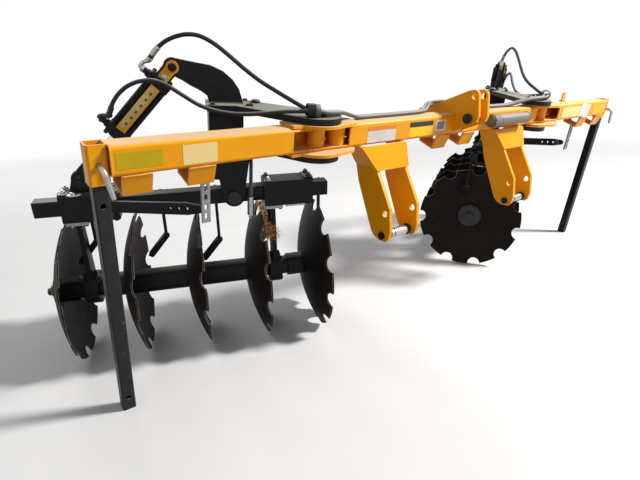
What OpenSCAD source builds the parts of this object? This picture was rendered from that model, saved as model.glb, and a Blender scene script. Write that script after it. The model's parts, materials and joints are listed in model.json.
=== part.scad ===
// Mounted levee disc plough, parked on its two legs and on its discs.
// X runs along the toolbar, the hitch side faces -Y, and Z is up from the ground.
// The machine's right-hand gang is at -X and the left-hand gang at +X.

/* [Toolbar] */
// Length of the square toolbar
bar_len = 3468; // [3000:10:4200]
// Outside width of the square toolbar
bar_size = 102; // [90:1:120]
// Wall of the toolbar
bar_wall = 8; // [5:0.5:12]
// Outside corner radius of the toolbar
bar_corner = 14; // [6:1:20]
// Nose-down pitch of the frame as it is parked
park_pitch = 8.9; // [6:0.1:11]

/* [Hitch] */
// Distance between the middles of the two lower clevises
hitch_span = 1015; // [900:5:1100]
// Distance between the two plates of a clevis, middle to middle
clevis_gap = 183; // [150:1:210]
// Thickness of a clevis plate
clevis_plate = 18; // [12:1:24]
// Lower hitch pin diameter
hitch_pin_d = 36.6; // [28:0.1:40]
// Distance between the two mast plates, middle to middle
mast_gap = 74; // [60:1:100]
// Thickness of a mast plate
mast_plate = 16; // [10:1:22]
// Bore of the mast's upper holes
top_link_d = 32; // [25:0.5:36]
// Bore of the second hole of each clevis plate
spare_hole_d = 32; // [20:1:36]

/* [Legs] */
// Width of the square leg
leg_size = 50; // [40:1:60]
// Wall of the square leg
leg_wall = 5; // [3:0.5:8]
// Gap on each side between the leg and its socket
leg_gap = 1.5; // [0.5:0.1:3]
// Wall of the leg socket
socket_wall = 6; // [4:0.5:10]
// Height of the leg socket
socket_len = 132; // [110:1:160]
// Diameter of the bent locking pin
lock_pin_d = 18; // [10:1:20]

/* [Gang carrier] */
// Distance from the middle of the toolbar to each outer swivel sleeve, which the right-hand gang uses
outer_swivel_x = 898; // [860:1:1000]
// Distance from the middle of the toolbar to each inner swivel sleeve, which the left-hand gang uses
inner_swivel_x = 786; // [720:1:800]
// Diameter of the swivel pin
swivel_pin_d = 50; // [40:1:60]
// Radius of the rounded swivel lugs
swivel_lug_r = 115; // [95:1:125]
// Thickness of a yellow swivel lug
lug_plate = 12; // [8:1:14]
// Thickness of a black carrier plate
carrier_plate = 26; // [18:1:30]
// Height of the post's fork and beam pivot below the middle of the toolbar
beam_drop = 326; // [300:1:360]
// Thickness of the gooseneck plate
gooseneck_plate = 22; // [16:1:28]

/* [Gangs] */
// Angle of the right-hand gang to the toolbar
right_yaw = 22.6; // [18:0.1:27]
// Angle of the left-hand gang to the toolbar
left_yaw = 33; // [24:0.1:36]
// Width of the square gang beam
beam_size = 70; // [60:1:80]
// Length of the gang beam
beam_len = 1296; // [1200:1:1400]
// Height of the gang beam above the disc axle
axle_drop = 414; // [390:1:450]
// Diameter of the discs
disc_d = 660; // [600:5:690]
// Depth of a disc's dish
disc_dish = 85; // [60:1:100]
// Thickness of a disc
disc_plate = 8; // [6:0.5:10]
// Notches round a disc's rim
notch_count = 11; // [8:1:12]
// Radius of a rim notch
notch_r = 40; // [24:1:48]
// Distance between two discs
disc_pitch = 288; // [270:1:310]
// Diameter of the spools between the discs
spool_d = 114; // [100:1:126]
// Diameter of the washers at the two ends of the disc axle
end_washer_d = 150; // [120:1:170]

/* [Tilt cylinders] */
// Outside diameter of the barrel
barrel_d = 86; // [76:1:96]
// Length of the barrel over its end caps
barrel_len = 307; // [290:1:320]
// Diameter of the rod
rod_d = 36; // [30:1:42]
// Diameter of the cylinder's two end pins
cyl_pin_d = 25; // [20:1:28]

/* [Hoses] */
// Outside diameter of the hoses
hose_d = 17; // [12:1:20]

/* [Hidden] */
$fn = 48;

half_bar = bar_size / 2;
seat_gap = 0.3;
run_gap = 0.5;
// The rod eye's pin swings in a wide bore
eye_gap = 4;
side_gap = 6;
socket_inner = leg_size + 2 * leg_gap;
socket_size = socket_inner + 2 * socket_wall;
socket_x = bar_len / 2 + socket_size / 2;
socket_z = -12;

// Middle of the whole machine on the ground, from under the middle of the toolbar
middle_x = -53;
middle_y = 473;

// Swivel pin in carrier coordinates: X along the beam, Y rearward, origin at the gang pivot
swivel_u = 322.4;
swivel_v = -225.4;
function yaw(side) = side > 0 ? left_yaw : right_yaw;
function pin_x(side) = side > 0 ? inner_swivel_x : outer_swivel_x;
function turned(p, g) = [p[0] * cos(g) + p[1] * sin(g), p[1] * cos(g) - p[0] * sin(g)];
function pivot_xy(side) = [-pin_x(side), 0] - turned([swivel_u, swivel_v], yaw(side));

// The beam and the disc axle are level when the tilt makes up for the frame's pitch
function park_tilt(side) = atan(sin(yaw(side)) * tan(park_pitch));
function beam_rise(side) = sqrt(1 - pow(cos(yaw(side)) * sin(park_pitch), 2));
function hang(side) = disc_d / 2 + axle_drop * beam_rise(side) - pivot_xy(side)[1] * sin(park_pitch);
bar_height = hang(-1) + beam_drop * cos(park_pitch);
function drop(side) = (bar_height - hang(side)) / cos(park_pitch);
leg_foot_z = -(bar_height - leg_size / 2 * sin(park_pitch)) / cos(park_pitch);
leg_top_z = 30;

lug_top = half_bar + lug_plate;
function plate_low(side) = drop(side) - lug_top - seat_gap - carrier_plate;
function plate_high(side) = drop(side) + lug_top + seat_gap;
function base_z(side) = plate_high(side) + carrier_plate;

// Places of a point of the toolbar, for the gang at -X or mirrored, in carrier and in gang coordinates
function in_carrier(side, p) = let (d = [p[0], p[1]] - pivot_xy(side), q = turned(d, -yaw(side)))
  [q[0], q[1], p[2] + drop(side)];
function in_gang(side, p) = let (c = in_carrier(side, p), q = turned([c[0], c[2]], park_tilt(side))) [q[0], c[1], q[1]];

// Gooseneck tip in carrier coordinates, and rod eye in gang coordinates
tip = [-242, 553];
eye_gang = [-641, 122.5];
function eye(side) = turned(eye_gang, -park_tilt(side));
function cyl_len(side) = norm(eye(side) - tip);
function cyl_angle(side) = atan2(tip[1] - eye(side)[1], tip[0] - eye(side)[0]);
barrel_start = 65;
rod_inside = 140;

beam_mid = -196;
first_hub = -825;
disc_count = 5;
hubs = [for (i = [0:disc_count - 1]) first_hub + i * disc_pitch];
rim_r = disc_d / 2;
sphere_r = (rim_r * rim_r + disc_dish * disc_dish) / (2 * disc_dish);
clamp_len = 234;
clamp_deep = 106;
clamp_high = 122;
hanger_x = [first_hub + disc_pitch / 2, first_hub + 3.5 * disc_pitch];
clamp_x = [hanger_x[0] + 63, hanger_x[1] + 75];
hanger_w = 60;
bearing_r = 78;
bearing_seat_d = spool_d - 20;
fork_w = 16;

// A plate outline round two circles, joined by their outer tangents
module link_outline(a, ra, b, rb) {
  span = norm(b - a);
  turn = atan2(b[1] - a[1], b[0] - a[0]);
  lean = acos((ra - rb) / span);
  translate(a) circle(r = ra);
  translate(b) circle(r = rb);
  polygon([for (q = [[a, ra, 1], [b, rb, 1], [b, rb, -1], [a, ra, -1]])
    q[0] + q[1] * [cos(turn + q[2] * lean), sin(turn + q[2] * lean)]]);
}

module rounded_square(size, r) {
  square([size - 2 * r, size], center = true);
  square([size, size - 2 * r], center = true);
  for (x = [-1, 1], y = [-1, 1]) translate([x, y] * (size / 2 - r)) circle(r = r);
}

// A square tube along Z, from z = 0
module square_tube(size, wall, length, r) {
  linear_extrude(length) difference() {
    rounded_square(size, r);
    rounded_square(size - 2 * wall, max(r - wall, 1.5));
  }
}

// A hole through everything along X, Y or Z
module hole(d, length, along = "z") {
  rotate(along == "x" ? [0, 90, 0] : along == "y" ? [90, 0, 0] : [0, 0, 0])
    cylinder(d = d, h = length, center = true);
}

// A plate whose outline is drawn in Y and Z, standing across X
module plate_yz(t) {
  rotate([90, 0, 90]) translate([0, 0, -t / 2]) linear_extrude(t) children();
}

// A plate whose outline is drawn in X and Z, standing across Y
module plate_xz(t) {
  rotate([90, 0, 0]) translate([0, 0, -t / 2]) linear_extrude(t) children();
}

module on_bar() {
  translate([-middle_x, -middle_y, bar_height]) rotate([park_pitch, 0, 0]) children();
}

// side -1 is the right-hand gang at -X, as written, and side 1 its mirror image
module on_side(side) {
  if (side > 0) mirror([1, 0, 0]) children();
  else children();
}

module on_carrier(side) {
  pivot = pivot_xy(side);
  on_bar() on_side(side) translate([pivot[0], pivot[1], -drop(side)]) rotate([0, 0, -yaw(side)]) children();
}

module on_gang(side) {
  on_carrier(side) rotate([0, -park_tilt(side), 0]) children();
}

module toolbar() {
  window = [294, bar_size, 78];
  color("goldenrod") on_bar() difference() {
    translate([-bar_len / 2, 0, 0]) rotate([90, 0, 90]) square_tube(bar_size, bar_wall, bar_len, bar_corner);
    for (s = [-1, 1]) {
      translate([s * outer_swivel_x, -half_bar, 0]) cube(window, center = true);
      for (x = [outer_swivel_x, inner_swivel_x]) translate([s * x, 0, 0])
        hole(swivel_pin_d + 24 + 2 * seat_gap, bar_size * 2);
    }
  }
}

module leg_sockets() {
  color("goldenrod") on_bar() for (s = [-1, 1]) translate([s * socket_x, 0, socket_z]) difference() {
    translate([0, 0, -socket_len / 2]) square_tube(socket_size, socket_wall, socket_len, 9);
    translate([0, -socket_size / 2, 0]) hole(lock_pin_d + 1, socket_size, "y");
  }
}

// The locking pin comes straight out of the socket, then turns down in two bends
module leg_pins() {
  stem = 36;
  bend = 16;
  handle = 100;
  reach = socket_wall + leg_gap - run_gap;
  color("silver") on_bar() for (s = [-1, 1]) translate([s * socket_x, -socket_size / 2, socket_z]) {
    translate([0, -stem, 0]) rotate([-90, 0, 0]) cylinder(d = lock_pin_d, h = stem + reach);
    translate([0, -stem, 0]) rotate([0, -12, 0]) {
      sphere(d = lock_pin_d + 1);
      rotate([135, 0, 0]) cylinder(d = lock_pin_d, h = norm([bend, bend]));
      translate([0, -bend, -bend]) sphere(d = lock_pin_d + 1);
      translate([0, -bend, -bend - handle]) cylinder(d = lock_pin_d, h = handle);
    }
  }
}

module leg(side) {
  color(side < 0 ? "dimgray" : "#202020") on_bar() translate([side * socket_x, 0, leg_foot_z]) difference() {
    square_tube(leg_size, leg_wall, leg_top_z - leg_foot_z, 7);
    for (z = [60, -leg_foot_z - 150]) translate([0, 0, z]) hole(lock_pin_d + 2, leg_size * 2, "y");
  }
}

module mast_plates() {
  outline = [[192, 40], [34, 106], [-104, 177], [-137, 187], [-156, 181], [-166, 165], [-188, 64], [-181, 36],
    [-half_bar - seat_gap, -33], [-half_bar - seat_gap, half_bar + seat_gap], [half_bar + seat_gap, half_bar + seat_gap],
    [half_bar + seat_gap, -33], [110, -33], [192, 10]];
  color("goldenrod") on_bar() for (s = [-1, 1]) translate([s * mast_gap / 2, 0, 0]) difference() {
    plate_yz(mast_plate) polygon(outline);
    translate([0, -142, 157]) hole(top_link_d, mast_plate * 2, "x");
    translate([0, -134, 46]) hole(hitch_pin_d + 1, mast_plate * 2, "x");
  }
}

module mast_pin() {
  length = mast_gap + mast_plate + 24;
  color("dimgray") on_bar() translate([0, -134, 46]) {
    hole(hitch_pin_d, length, "x");
    translate([-length / 2, 0, 0]) hole(hitch_pin_d + 14, 8, "x");
  }
}

// Lower hitch pin in toolbar coordinates, Y and Z
hitch_eye = [-181, -450];
module clevis() {
  top = -half_bar - seat_gap;
  bend = -163;
  flare = 36;
  slope = atan((97 - 60) / (top - bend));
  a = clevis_gap / 2;
  t = clevis_plate / 2;
  mitre = t * tan(flare / 2);
  function flared(x, z) = x - tan(flare) * (top - z);
  outline = [[45, top], [-60, top], [-97, bend], [-204, -312], [-226, -415], [-222, -455], [-205, -476], [-160, -480],
    [-128, -470], [-106, -450], [-40, -339], [17, -240], [45, bend]];
  difference() {
    union() {
      translate([a, 0, 0]) plate_yz(clevis_plate) polygon(outline);
      intersection() {
        translate([-a - 60, 0, 0]) plate_yz(220) polygon(outline);
        plate_xz(600) polygon([[-a - t, -500], [-a + t, -500], [-a + t, bend + mitre], [flared(-a + t, bend + mitre), top + 1],
          [flared(-a - t, bend - mitre), top + 1], [-a - t, bend - mitre]]);
      }
      translate([0, -97, bend]) rotate([-slope, 0, 0]) translate([0, -3, 0]) plate_xz(10)
        polygon([[-a - t - 3, 0], [a + t + 3, 0], [a + t + 3, 115], [-a - t - 84, 115]]);
    }
    translate([0, -180, -342]) hole(spare_hole_d, 400, "x");
    translate([0, hitch_eye[0], hitch_eye[1]]) hole(hitch_pin_d + 1, 400, "x");
  }
}

module hitch_clevises() {
  color("goldenrod") on_bar() for (s = [-1, 1]) translate([s * hitch_span / 2, 0, 0]) clevis();
}

module hitch_pins() {
  length = clevis_gap + clevis_plate + 16;
  color("silver") on_bar() for (s = [-1, 1]) translate([s * hitch_span / 2, hitch_eye[0], hitch_eye[1]]) {
    hole(hitch_pin_d, length, "x");
    hole(hitch_pin_d + 7.4, clevis_gap - 83, "x");
  }
}

saddle_w = 100;
saddle_x = [mast_gap / 2 + mast_plate / 2 + 63, bar_len / 2 - 305, bar_len / 2 - 78];
module saddle_brackets() {
  outside = [[-half_bar, -half_bar - seat_gap], [-28, -122], [62, -98], [62, -half_bar - seat_gap]];
  inside = [[-half_bar + 9, -half_bar + 5], [-22, -112], [53, -92], [53, -half_bar + 5]];
  color("goldenrod") on_bar() for (s = [-1, 1], x = saddle_x)
    translate([s * x, 0, 0]) plate_yz(saddle_w) difference() {
      polygon(outside);
      polygon(inside);
    }
}

module swivel_brackets() {
  inset = outer_swivel_x - inner_swivel_x;
  color("goldenrod") on_bar() for (s = [-1, 1]) on_side(s) translate([-outer_swivel_x, 0, 0]) difference() {
    union() {
      for (z = [half_bar + seat_gap, -half_bar - lug_plate])
        translate([0, 0, z]) linear_extrude(lug_plate - seat_gap) {
          link_outline([0, 0], swivel_lug_r, [inset, -20], 72);
          translate([-150, -half_bar]) square([300, bar_size]);
        }
      for (x = [0, inset]) translate([x, 0, 0]) cylinder(d = swivel_pin_d + 24, h = 2 * lug_top - 1, center = true);
    }
    for (x = [0, inset]) translate([x, 0, 0]) cylinder(d = swivel_pin_d + 2 * run_gap, h = 4 * lug_top, center = true);
  }
}

strap_x = saddle_x[1] - 29;
module angle_straps() {
  slot_r = 7;
  color("gray") on_bar() for (s = [-1, 1]) translate([s * strap_x, 4, 0]) difference() {
    translate([-17, -5, -290]) cube([34, 10, 290 - 115.2]);
    for (i = [0:3]) translate([0, 0, -264 + i * 38]) plate_xz(40) link_outline([0, -7], slot_r, [0, 7], slot_r);
  }
}

module document_tube() {
  color("gray") on_bar() translate([250, -half_bar - 36, 8]) rotate([0, 90, 0]) {
    cylinder(d = 62, h = 330);
    translate([0, 0, -18]) cylinder(d = 70, h = 60);
    translate([0, 0, -26]) cylinder(d = 58, h = 8);
    for (z = [90, 250]) translate([-12, 0, z]) cube([24, 35.7, 30]);
  }
}

module marker_tab() {
  color("goldenrod") on_bar() translate([1225, 34, half_bar + seat_gap]) {
    linear_extrude(58) square([34, 8], center = true);
    linear_extrude(7) square([34, 30], center = true);
  }
}

module carrier(side) {
  top_w = 145;
  low = plate_low(side);
  on_carrier(side) difference() {
    union() {
      for (z = [low, plate_high(side)]) translate([0, 0, z]) linear_extrude(carrier_plate) {
        link_outline([swivel_u, swivel_v], 102, [40, 0], 75);
        translate([-112, -75]) square([200, 150]);
      }
      translate([-105, -70, 150]) cube([top_w, 140, plate_high(side) - 149]);
      for (y = [-1, 1]) translate([0, y * (beam_size / 2 + side_gap + fork_w / 2), 0]) plate_xz(fork_w) {
        circle(r = 46);
        polygon([[-45, -5], [45, -5], [76, low + 2], [-105, low + 2]]);
      }
      translate([-105, -57, 86]) cube([top_w, 114, 70]);
    }
    hole(cyl_pin_d + 20 + 2 * run_gap, 400, "y");
    translate([swivel_u, swivel_v, 0]) cylinder(d = swivel_pin_d + 2 * run_gap, h = 1500);
    translate([0, 0, -60]) cube([400, beam_size + 2 * side_gap, 285], center = true);
  }
}

module carriers() {
  color("#202020") for (s = [-1, 1]) carrier(s);
}

module gooseneck(side) {
  foot = base_z(side) + seat_gap;
  upper = [[-248, 587], [-225, 586], [-170, 577], [-91, 566], [-38, 544], [3, 510], [28, 474], [46, foot]];
  lower = [[-99, foot], [-107, 444], [-135, 464], [-175, 483], [-206, 502], [-242, 519]];
  on_carrier(side) difference() {
    plate_xz(gooseneck_plate) {
      polygon(concat(upper, lower));
      translate(tip) circle(r = 36);
    }
    translate([tip[0], 0, tip[1]]) hole(cyl_pin_d + 2 * run_gap, 100, "y");
  }
}

module goosenecks() {
  color("#202020") for (s = [-1, 1]) gooseneck(s);
}

head_h = 10;
module swivel_pins() {
  face = lug_top + carrier_plate + 2 * seat_gap;
  color("#202020") for (s = [-1, 1]) on_carrier(s) translate([swivel_u, swivel_v, drop(s)]) {
    cylinder(d = swivel_pin_d, h = 2 * face + head_h, center = true);
    for (z = [-face - head_h, face]) translate([0, 0, z]) cylinder(d = 84, h = head_h);
  }
}

// Middle of a hose ring from the swivel pin, in carrier coordinates
ring_u = -35;
ring_v = -62;
ring_z = lug_top + carrier_plate + 28;
ring_r = 27;
module hose_rings() {
  color("#202020") for (s = [-1, 1]) on_carrier(s) translate([swivel_u + ring_u, swivel_v + ring_v, drop(s) + ring_z])
    difference() {
      union() {
        hole(2 * ring_r, 12, "x");
        translate([-11, -11, 2 * seat_gap - 28]) cube([22, 22, 7]);
      }
      hole(2 * ring_r - 11, 20, "x");
    }
}

// A threaded rod with a long nut hangs from each carrier's lower plate
module stop_rods() {
  rod_y = -(beam_size / 2 + side_gap + fork_w + 9);
  color("silver") for (s = [-1, 1]) on_carrier(s) translate([74, rod_y, 0]) {
    translate([0, 0, -100]) cylinder(d = 16, h = plate_low(s) - seat_gap + 100);
    translate([0, 0, -84]) cylinder(d = 30, h = 90, $fn = 6);
  }
}

module gang_beam(side) {
  color("#202020") on_gang(side) difference() {
    translate([beam_mid - beam_len / 2, 0, 0]) rotate([90, 0, 90]) square_tube(beam_size, 8, beam_len, 8);
    hole(cyl_pin_d + 20 + 2 * run_gap, 200, "y");
  }
}

module tilt_pin(side) {
  length = beam_size + 2 * side_gap + 2 * fork_w + 24;
  color("dimgray") on_gang(side) {
    hole(cyl_pin_d + 20, length, "y");
    for (s = [-1, 1]) translate([0, s * (length / 2 - 4), 0]) hole(60, 8, "y");
  }
}

module clamp_block(long) {
  difference() {
    translate([-long / 2, -clamp_deep / 2, -clamp_high / 2]) cube([long, clamp_deep, clamp_high]);
    cube([long * 2, beam_size + 2 * seat_gap, beam_size + 2 * seat_gap], center = true);
  }
}

module beam_clamps(side) {
  color("#202020") on_gang(side) {
    difference() {
      union() {
        translate([clamp_x[0], 0, 0]) clamp_block(clamp_len);
        translate([eye_gang[0], 0, 0]) plate_xz(24) {
          translate([0, eye_gang[1]]) circle(r = 34);
          polygon([[-34, eye_gang[1]], [34, eye_gang[1]], [52, clamp_high / 2 - 1], [-52, clamp_high / 2 - 1]]);
        }
      }
      translate([eye_gang[0], 0, eye_gang[1]]) hole(cyl_pin_d + 2 * eye_gap, 100, "y");
    }
    translate([clamp_x[1], 0, 0]) clamp_block(clamp_len);
  }
}

module bearing_hangers(side) {
  top = -clamp_high / 2 - seat_gap;
  color("#202020") on_gang(side) for (x = hanger_x) translate([x, 0, 0]) difference() {
    union() {
      translate([0, 0, -axle_drop]) hole(2 * bearing_r, hanger_w, "x");
      plate_yz(22) polygon([[-26, top], [26, top], [50, -axle_drop], [-50, -axle_drop]]);
      translate([0, 0, top - 8]) cube([hanger_w + 30, 96, 16], center = true);
    }
    translate([0, 0, -axle_drop]) hole(bearing_seat_d + 2 * run_gap, 200, "x");
  }
}

function in_clamp(x) = min([for (c = clamp_x) abs(x - c)]) < clamp_len / 2 + 10;
// Each scraper's place from its disc's middle, and the height of its arm's foot
scraper_places = [[180, -204], [208, -204], [169, -254], [130, -230], [105, -204]];
module scrapers(side) {
  arm_y = clamp_deep / 2 + 9;
  lean = 40;
  color("#202020") on_gang(side) for (i = [0:disc_count - 1]) translate([hubs[i] + scraper_places[i][0], 0, 0]) {
    x = hubs[i] + scraper_places[i][0];
    foot_z = scraper_places[i][1];
    blade = min(140, (scraper_places[i][0] - 40) / sin(lean));
    face = (in_clamp(x) ? clamp_deep : beam_size) / 2 + seat_gap;
    translate([-7, arm_y - 7, foot_z]) cube([14, 14, -foot_z + 24]);
    translate([-12, face, -20]) cube([28, arm_y + 14 - face, 36]);
    translate([0, arm_y, foot_z + 6]) rotate([0, lean, 0]) translate([-4, -22, -blade]) cube([8, 44, blade]);
  }
}

// The brace runs from the outer clamp's front face to its strap, where its bolt's place is open
module brace_bar(side) {
  front = in_gang(side, [-strap_x, 30, -245]);
  back = [-560, -clamp_deep / 2 - seat_gap - 10, 10];
  run = back - front;
  flat = norm([run[0], run[1]]);
  color("#202020") on_gang(side) difference() {
    union() {
      translate(front) rotate([0, 0, atan2(run[1], run[0])]) rotate([0, -atan2(run[2], flat), 0]) plate_xz(12) difference() {
        union() {
          link_outline([17, 0], 17, [75, 0], 25);
          translate([75, -25]) square([norm(run) - 75, 50]);
        }
        for (x = [75, 117, 160]) translate([x, 0]) circle(d = 16);
      }
      translate([back[0] - 40, -clamp_deep / 2 - seat_gap - 12, -42]) cube([80, 12, 90]);
    }
    translate([back[0] - 80, -clamp_deep / 2 - seat_gap, -60]) cube([160, 50, 140]);
  }
}

module disc_profile() {
  steps = 6;
  flat_r = end_washer_d / 2 + 1;
  radii = [for (i = [0:steps]) flat_r + (rim_r - flat_r) * i / steps];
  face = [for (r = radii) [r, (r * r - flat_r * flat_r) / (2 * sphere_r)]];
  polygon(concat([[22, 0]], face, [for (i = [steps:-1:0]) face[i] + [0, disc_plate]], [[22, disc_plate]]));
}

module notched_disc() {
  difference() {
    rotate([0, 90, 0]) rotate_extrude($fn = 96) disc_profile();
    for (i = [0:notch_count - 1]) rotate([i * 360 / notch_count, 0, 0]) translate([0, 0, rim_r])
      hole(2 * notch_r, 400, "x", $fn = 24);
  }
}

module discs(side) {
  color("#2a2622") on_gang(side) for (x = hubs) translate([x, 0, -axle_drop]) notched_disc();
}

// The outermost and the innermost spool but one carry a narrower seat for the bearings
module spools(side) {
  gap = 0.3;
  length = disc_pitch - disc_plate - 2 * gap;
  seat_len = hanger_w + 60;
  color("#202020") on_gang(side) for (i = [0:disc_count - 2]) translate([hubs[i] + disc_plate + gap, 0, -axle_drop])
    rotate([0, 90, 0]) difference() {
      cylinder(d = spool_d, h = length);
      if (i == 0 || i == disc_count - 2) translate([0, 0, (length - seat_len) / 2]) difference() {
        cylinder(d = spool_d + 2, h = seat_len);
        translate([0, 0, -1]) cylinder(d = bearing_seat_d, h = seat_len + 2);
      }
      translate([0, 0, -1]) cylinder(d = 40, h = disc_pitch + 2);
    }
}

module axle_bolt(side) {
  start = first_hub - 46;
  color("dimgray") on_gang(side) translate([start, 0, -axle_drop]) rotate([0, 90, 0]) {
    cylinder(d = 38, h = 4 * disc_pitch + 100);
    translate([0, 0, 30]) cylinder(d = end_washer_d, h = 15.7);
    translate([0, 0, 8]) cylinder(d = 62, h = 22, $fn = 4);
    translate([0, 0, 46 + 4 * disc_pitch + disc_plate + 0.3]) {
      cylinder(d = end_washer_d, h = 14);
      cylinder(d = 62, h = 36, $fn = 4);
    }
  }
}

// The cylinder lies along -X from the gooseneck's tip, before it is turned to the rod's eye
module on_cylinder(side) {
  on_carrier(side) translate([tip[0], 0, tip[1]]) rotate([0, -cyl_angle(side), 0]) children();
}

cap = 38;
cap_w = 96;
cheek_y = gooseneck_plate / 2 + 8;
cheek_t = 12;
far_end = barrel_start + barrel_len;
module barrel(side) {
  color("#202020") on_cylinder(side) difference() {
    union() {
      translate([-far_end + cap, 0, 0]) rotate([0, 90, 0]) cylinder(d = barrel_d, h = barrel_len - 2 * cap);
      for (x = [-barrel_start - cap, -far_end]) translate([x, -cap_w / 2, -cap_w / 2]) cube([cap, cap_w, cap_w]);
      for (y = [-1, 1], z = [-1, 1]) translate([-far_end - 10, y * 39, z * 39]) rotate([0, 90, 0])
        cylinder(d = 13, h = barrel_len + 20, $fn = 20);
      for (s = [-1, 1]) plate_y_at(s * cheek_y, cheek_t) {
        circle(r = 30);
        translate([-barrel_start - 1, -30]) square([barrel_start + 1, 60]);
      }
      for (x = [-barrel_start - cap / 2, -far_end + cap / 2]) translate([x, 0, cap_w / 2 - 1]) {
        cylinder(d = 34, h = 13);
        translate([0, 0, 13]) cylinder(d = 26, h = 14, $fn = 6);
      }
      hole(cyl_pin_d, gooseneck_plate + 56, "y");
    }
    translate([-far_end - 1, 0, 0]) rotate([0, 90, 0]) cylinder(d = rod_d + 2 * run_gap, h = barrel_len - 60);
  }
}

module plate_y_at(y, t) {
  translate([0, y, 0]) plate_xz(t) children();
}

// A scale along the barrel's front, and the plate that holds its pointer on the front cheek
module scale_bar(side) {
  bar_t = 6;
  plate_y = -cheek_y - cheek_t / 2 - seat_gap - bar_t / 2;
  color("goldenrod") on_cylinder(side) {
    plate_y_at(-barrel_d / 2 - seat_gap - bar_t / 2, bar_t)
      translate([-far_end + cap + 1, -20]) square([barrel_len - 2 * cap - 2, 40]);
    plate_y_at(plate_y, bar_t) difference() {
      union() {
        circle(r = 26);
        translate([-barrel_start + 1, -22]) square([barrel_start - 1, 44]);
      }
      circle(d = cyl_pin_d + 2 * seat_gap);
    }
  }
}

module rod(side) {
  clevis_len = 78;
  length = cyl_len(side);
  root = -length + clevis_len;
  color("silver") on_cylinder(side) {
    translate([root, 0, 0]) rotate([0, 90, 0]) cylinder(d = rod_d, h = length - clevis_len - barrel_start - barrel_len + rod_inside);
    for (s = [-1, 1]) plate_y_at(s * 21, 14) {
      translate([-length, 0]) circle(r = 30);
      translate([-length, -30]) square([clevis_len - 20, 60]);
    }
    translate([root - 22, -28, -30]) cube([26, 56, 60]);
    translate([-length, 0, 0]) hole(cyl_pin_d, 70, "y");
  }
}

// A tube of eight sides swept along a list of points
function unit(v) = v / norm(v);
function tangent(p, i) = unit(p[min(i + 1, len(p) - 1)] - p[max(i - 1, 0)]);
function side_of(t) = unit(cross(t, abs(t[2]) > 0.9 ? [1, 0, 0] : [0, 0, 1]));
module swept_tube(p, d) {
  sides = 8;
  rings = [for (i = [0:len(p) - 1]) let (t = tangent(p, i), a = side_of(t), b = cross(t, a))
    [for (k = [0:sides - 1]) p[i] + d / 2 * (cos(k * 360 / sides) * a + sin(k * 360 / sides) * b)]];
  last = (len(p) - 1) * sides;
  walls = [for (i = [0:len(p) - 2], k = [0:sides - 1])
    let (m = i * sides + k, n = i * sides + (k + 1) % sides) each [[m, n + sides, n], [m, m + sides, n + sides]]];
  caps = [[for (k = [0:sides - 1]) k], [for (k = [sides - 1:-1:0]) last + k]];
  polyhedron(points = [for (r = rings) each r], faces = concat(walls, caps), convexity = 10);
}

// Hose routes in carrier coordinates, from the cylinder's ports to the hose ring
upper_route = [[-317, 0, 593], [-306, -3, 609], [-290, -8, 626], [-263, -16, 648], [-224, -28, 668], [-178, -42, 680],
  [-129, -58, 677], [-74, -80, 652], [-18, -102, 612], [39, -124, 568], [98, -148, 528], [158, -180, 496],
  [208, -222, 471], [246, -256, 453]];
lower_route = [[-460, -46, 436], [-440, -50, 458], [-412, -57, 480], [-370, -66, 499], [-318, -76, 506], [-268, -86, 492], [-212, -98, 460], [-146, -118, 424], [-84, -138, 406], [-22, -162, 400],
  [38, -190, 404], [96, -220, 414], [150, -250, 426], [200, -274, 435], [246, -282, 438]];

// A hose's last two points run straight into its ring, y from the ring's middle
function ring_end(side, y) = let (r = [swivel_u + ring_u, swivel_v + ring_v + y, drop(side) + ring_z])
  [r + [-20, 0, 0], r + [-0.2, 0, 0]];

module upper_hose(side) {
  color("#181818") on_carrier(side) swept_tube(concat(upper_route, ring_end(side, 12.5)), hose_d);
}

module lower_hose(side) {
  color("#181818") on_carrier(side) swept_tube(concat(lower_route, ring_end(side, -12.5)), hose_d);
}

// Half of a supply hose in toolbar coordinates, from a hose ring to the mast
function in_ring(side, x, k) = let (q = turned([ring_u + x, ring_v - 12.5 + 25 * k], yaw(side))) [q[0] - pin_x(side), q[1], ring_z];
function supply_half(side, k) = let (x = -pin_x(side), y = 20 * k) [
  in_ring(side, 0.2, k), in_ring(side, 20, k), [x + 4, -70 + y, ring_z - 8], [x + 88, -54 + y, 102],
  [x + 153, -24 + y, 86], [x + 218, 2 + y, 68], [x + 288, 14 + y, 60], [-300, 18 + y, 60], [-200, 32 + y, 60],
  [-140, 60 + y, 64], [-95, 88 + y, 76], [-50, 106 + y, 88 - 7 * k]];

module supply_hose(k) {
  left = supply_half(1, k);
  mirrored = [for (i = [len(left) - 1:-1:0]) [-left[i][0], left[i][1], left[i][2]]];
  color("#181818") on_bar() swept_tube(concat(supply_half(-1, k), mirrored), hose_d);
}

toolbar();
leg_sockets();
leg_pins();
mast_plates();
mast_pin();
hitch_clevises();
hitch_pins();
saddle_brackets();
swivel_brackets();
angle_straps();
document_tube();
marker_tab();
supply_hose(0);  // front_supply_hose
supply_hose(1);  // rear_supply_hose
leg(-1);  // right_leg
leg(1);  // left_leg
carriers();
goosenecks();
swivel_pins();
hose_rings();
stop_rods();
gang_beam(-1);  // right_gang_beam
gang_beam(1);  // left_gang_beam
beam_clamps(-1);  // right_beam_clamps
beam_clamps(1);  // left_beam_clamps
bearing_hangers(-1);  // right_bearing_hangers
bearing_hangers(1);  // left_bearing_hangers
scrapers(-1);  // right_scrapers
scrapers(1);  // left_scrapers
brace_bar(-1);  // right_brace_bar
brace_bar(1);  // left_brace_bar
tilt_pin(-1);  // right_tilt_pin
tilt_pin(1);  // left_tilt_pin
discs(-1);  // right_discs
discs(1);  // left_discs
spools(-1);  // right_spools
spools(1);  // left_spools
axle_bolt(-1);  // right_axle_bolt
axle_bolt(1);  // left_axle_bolt
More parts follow.
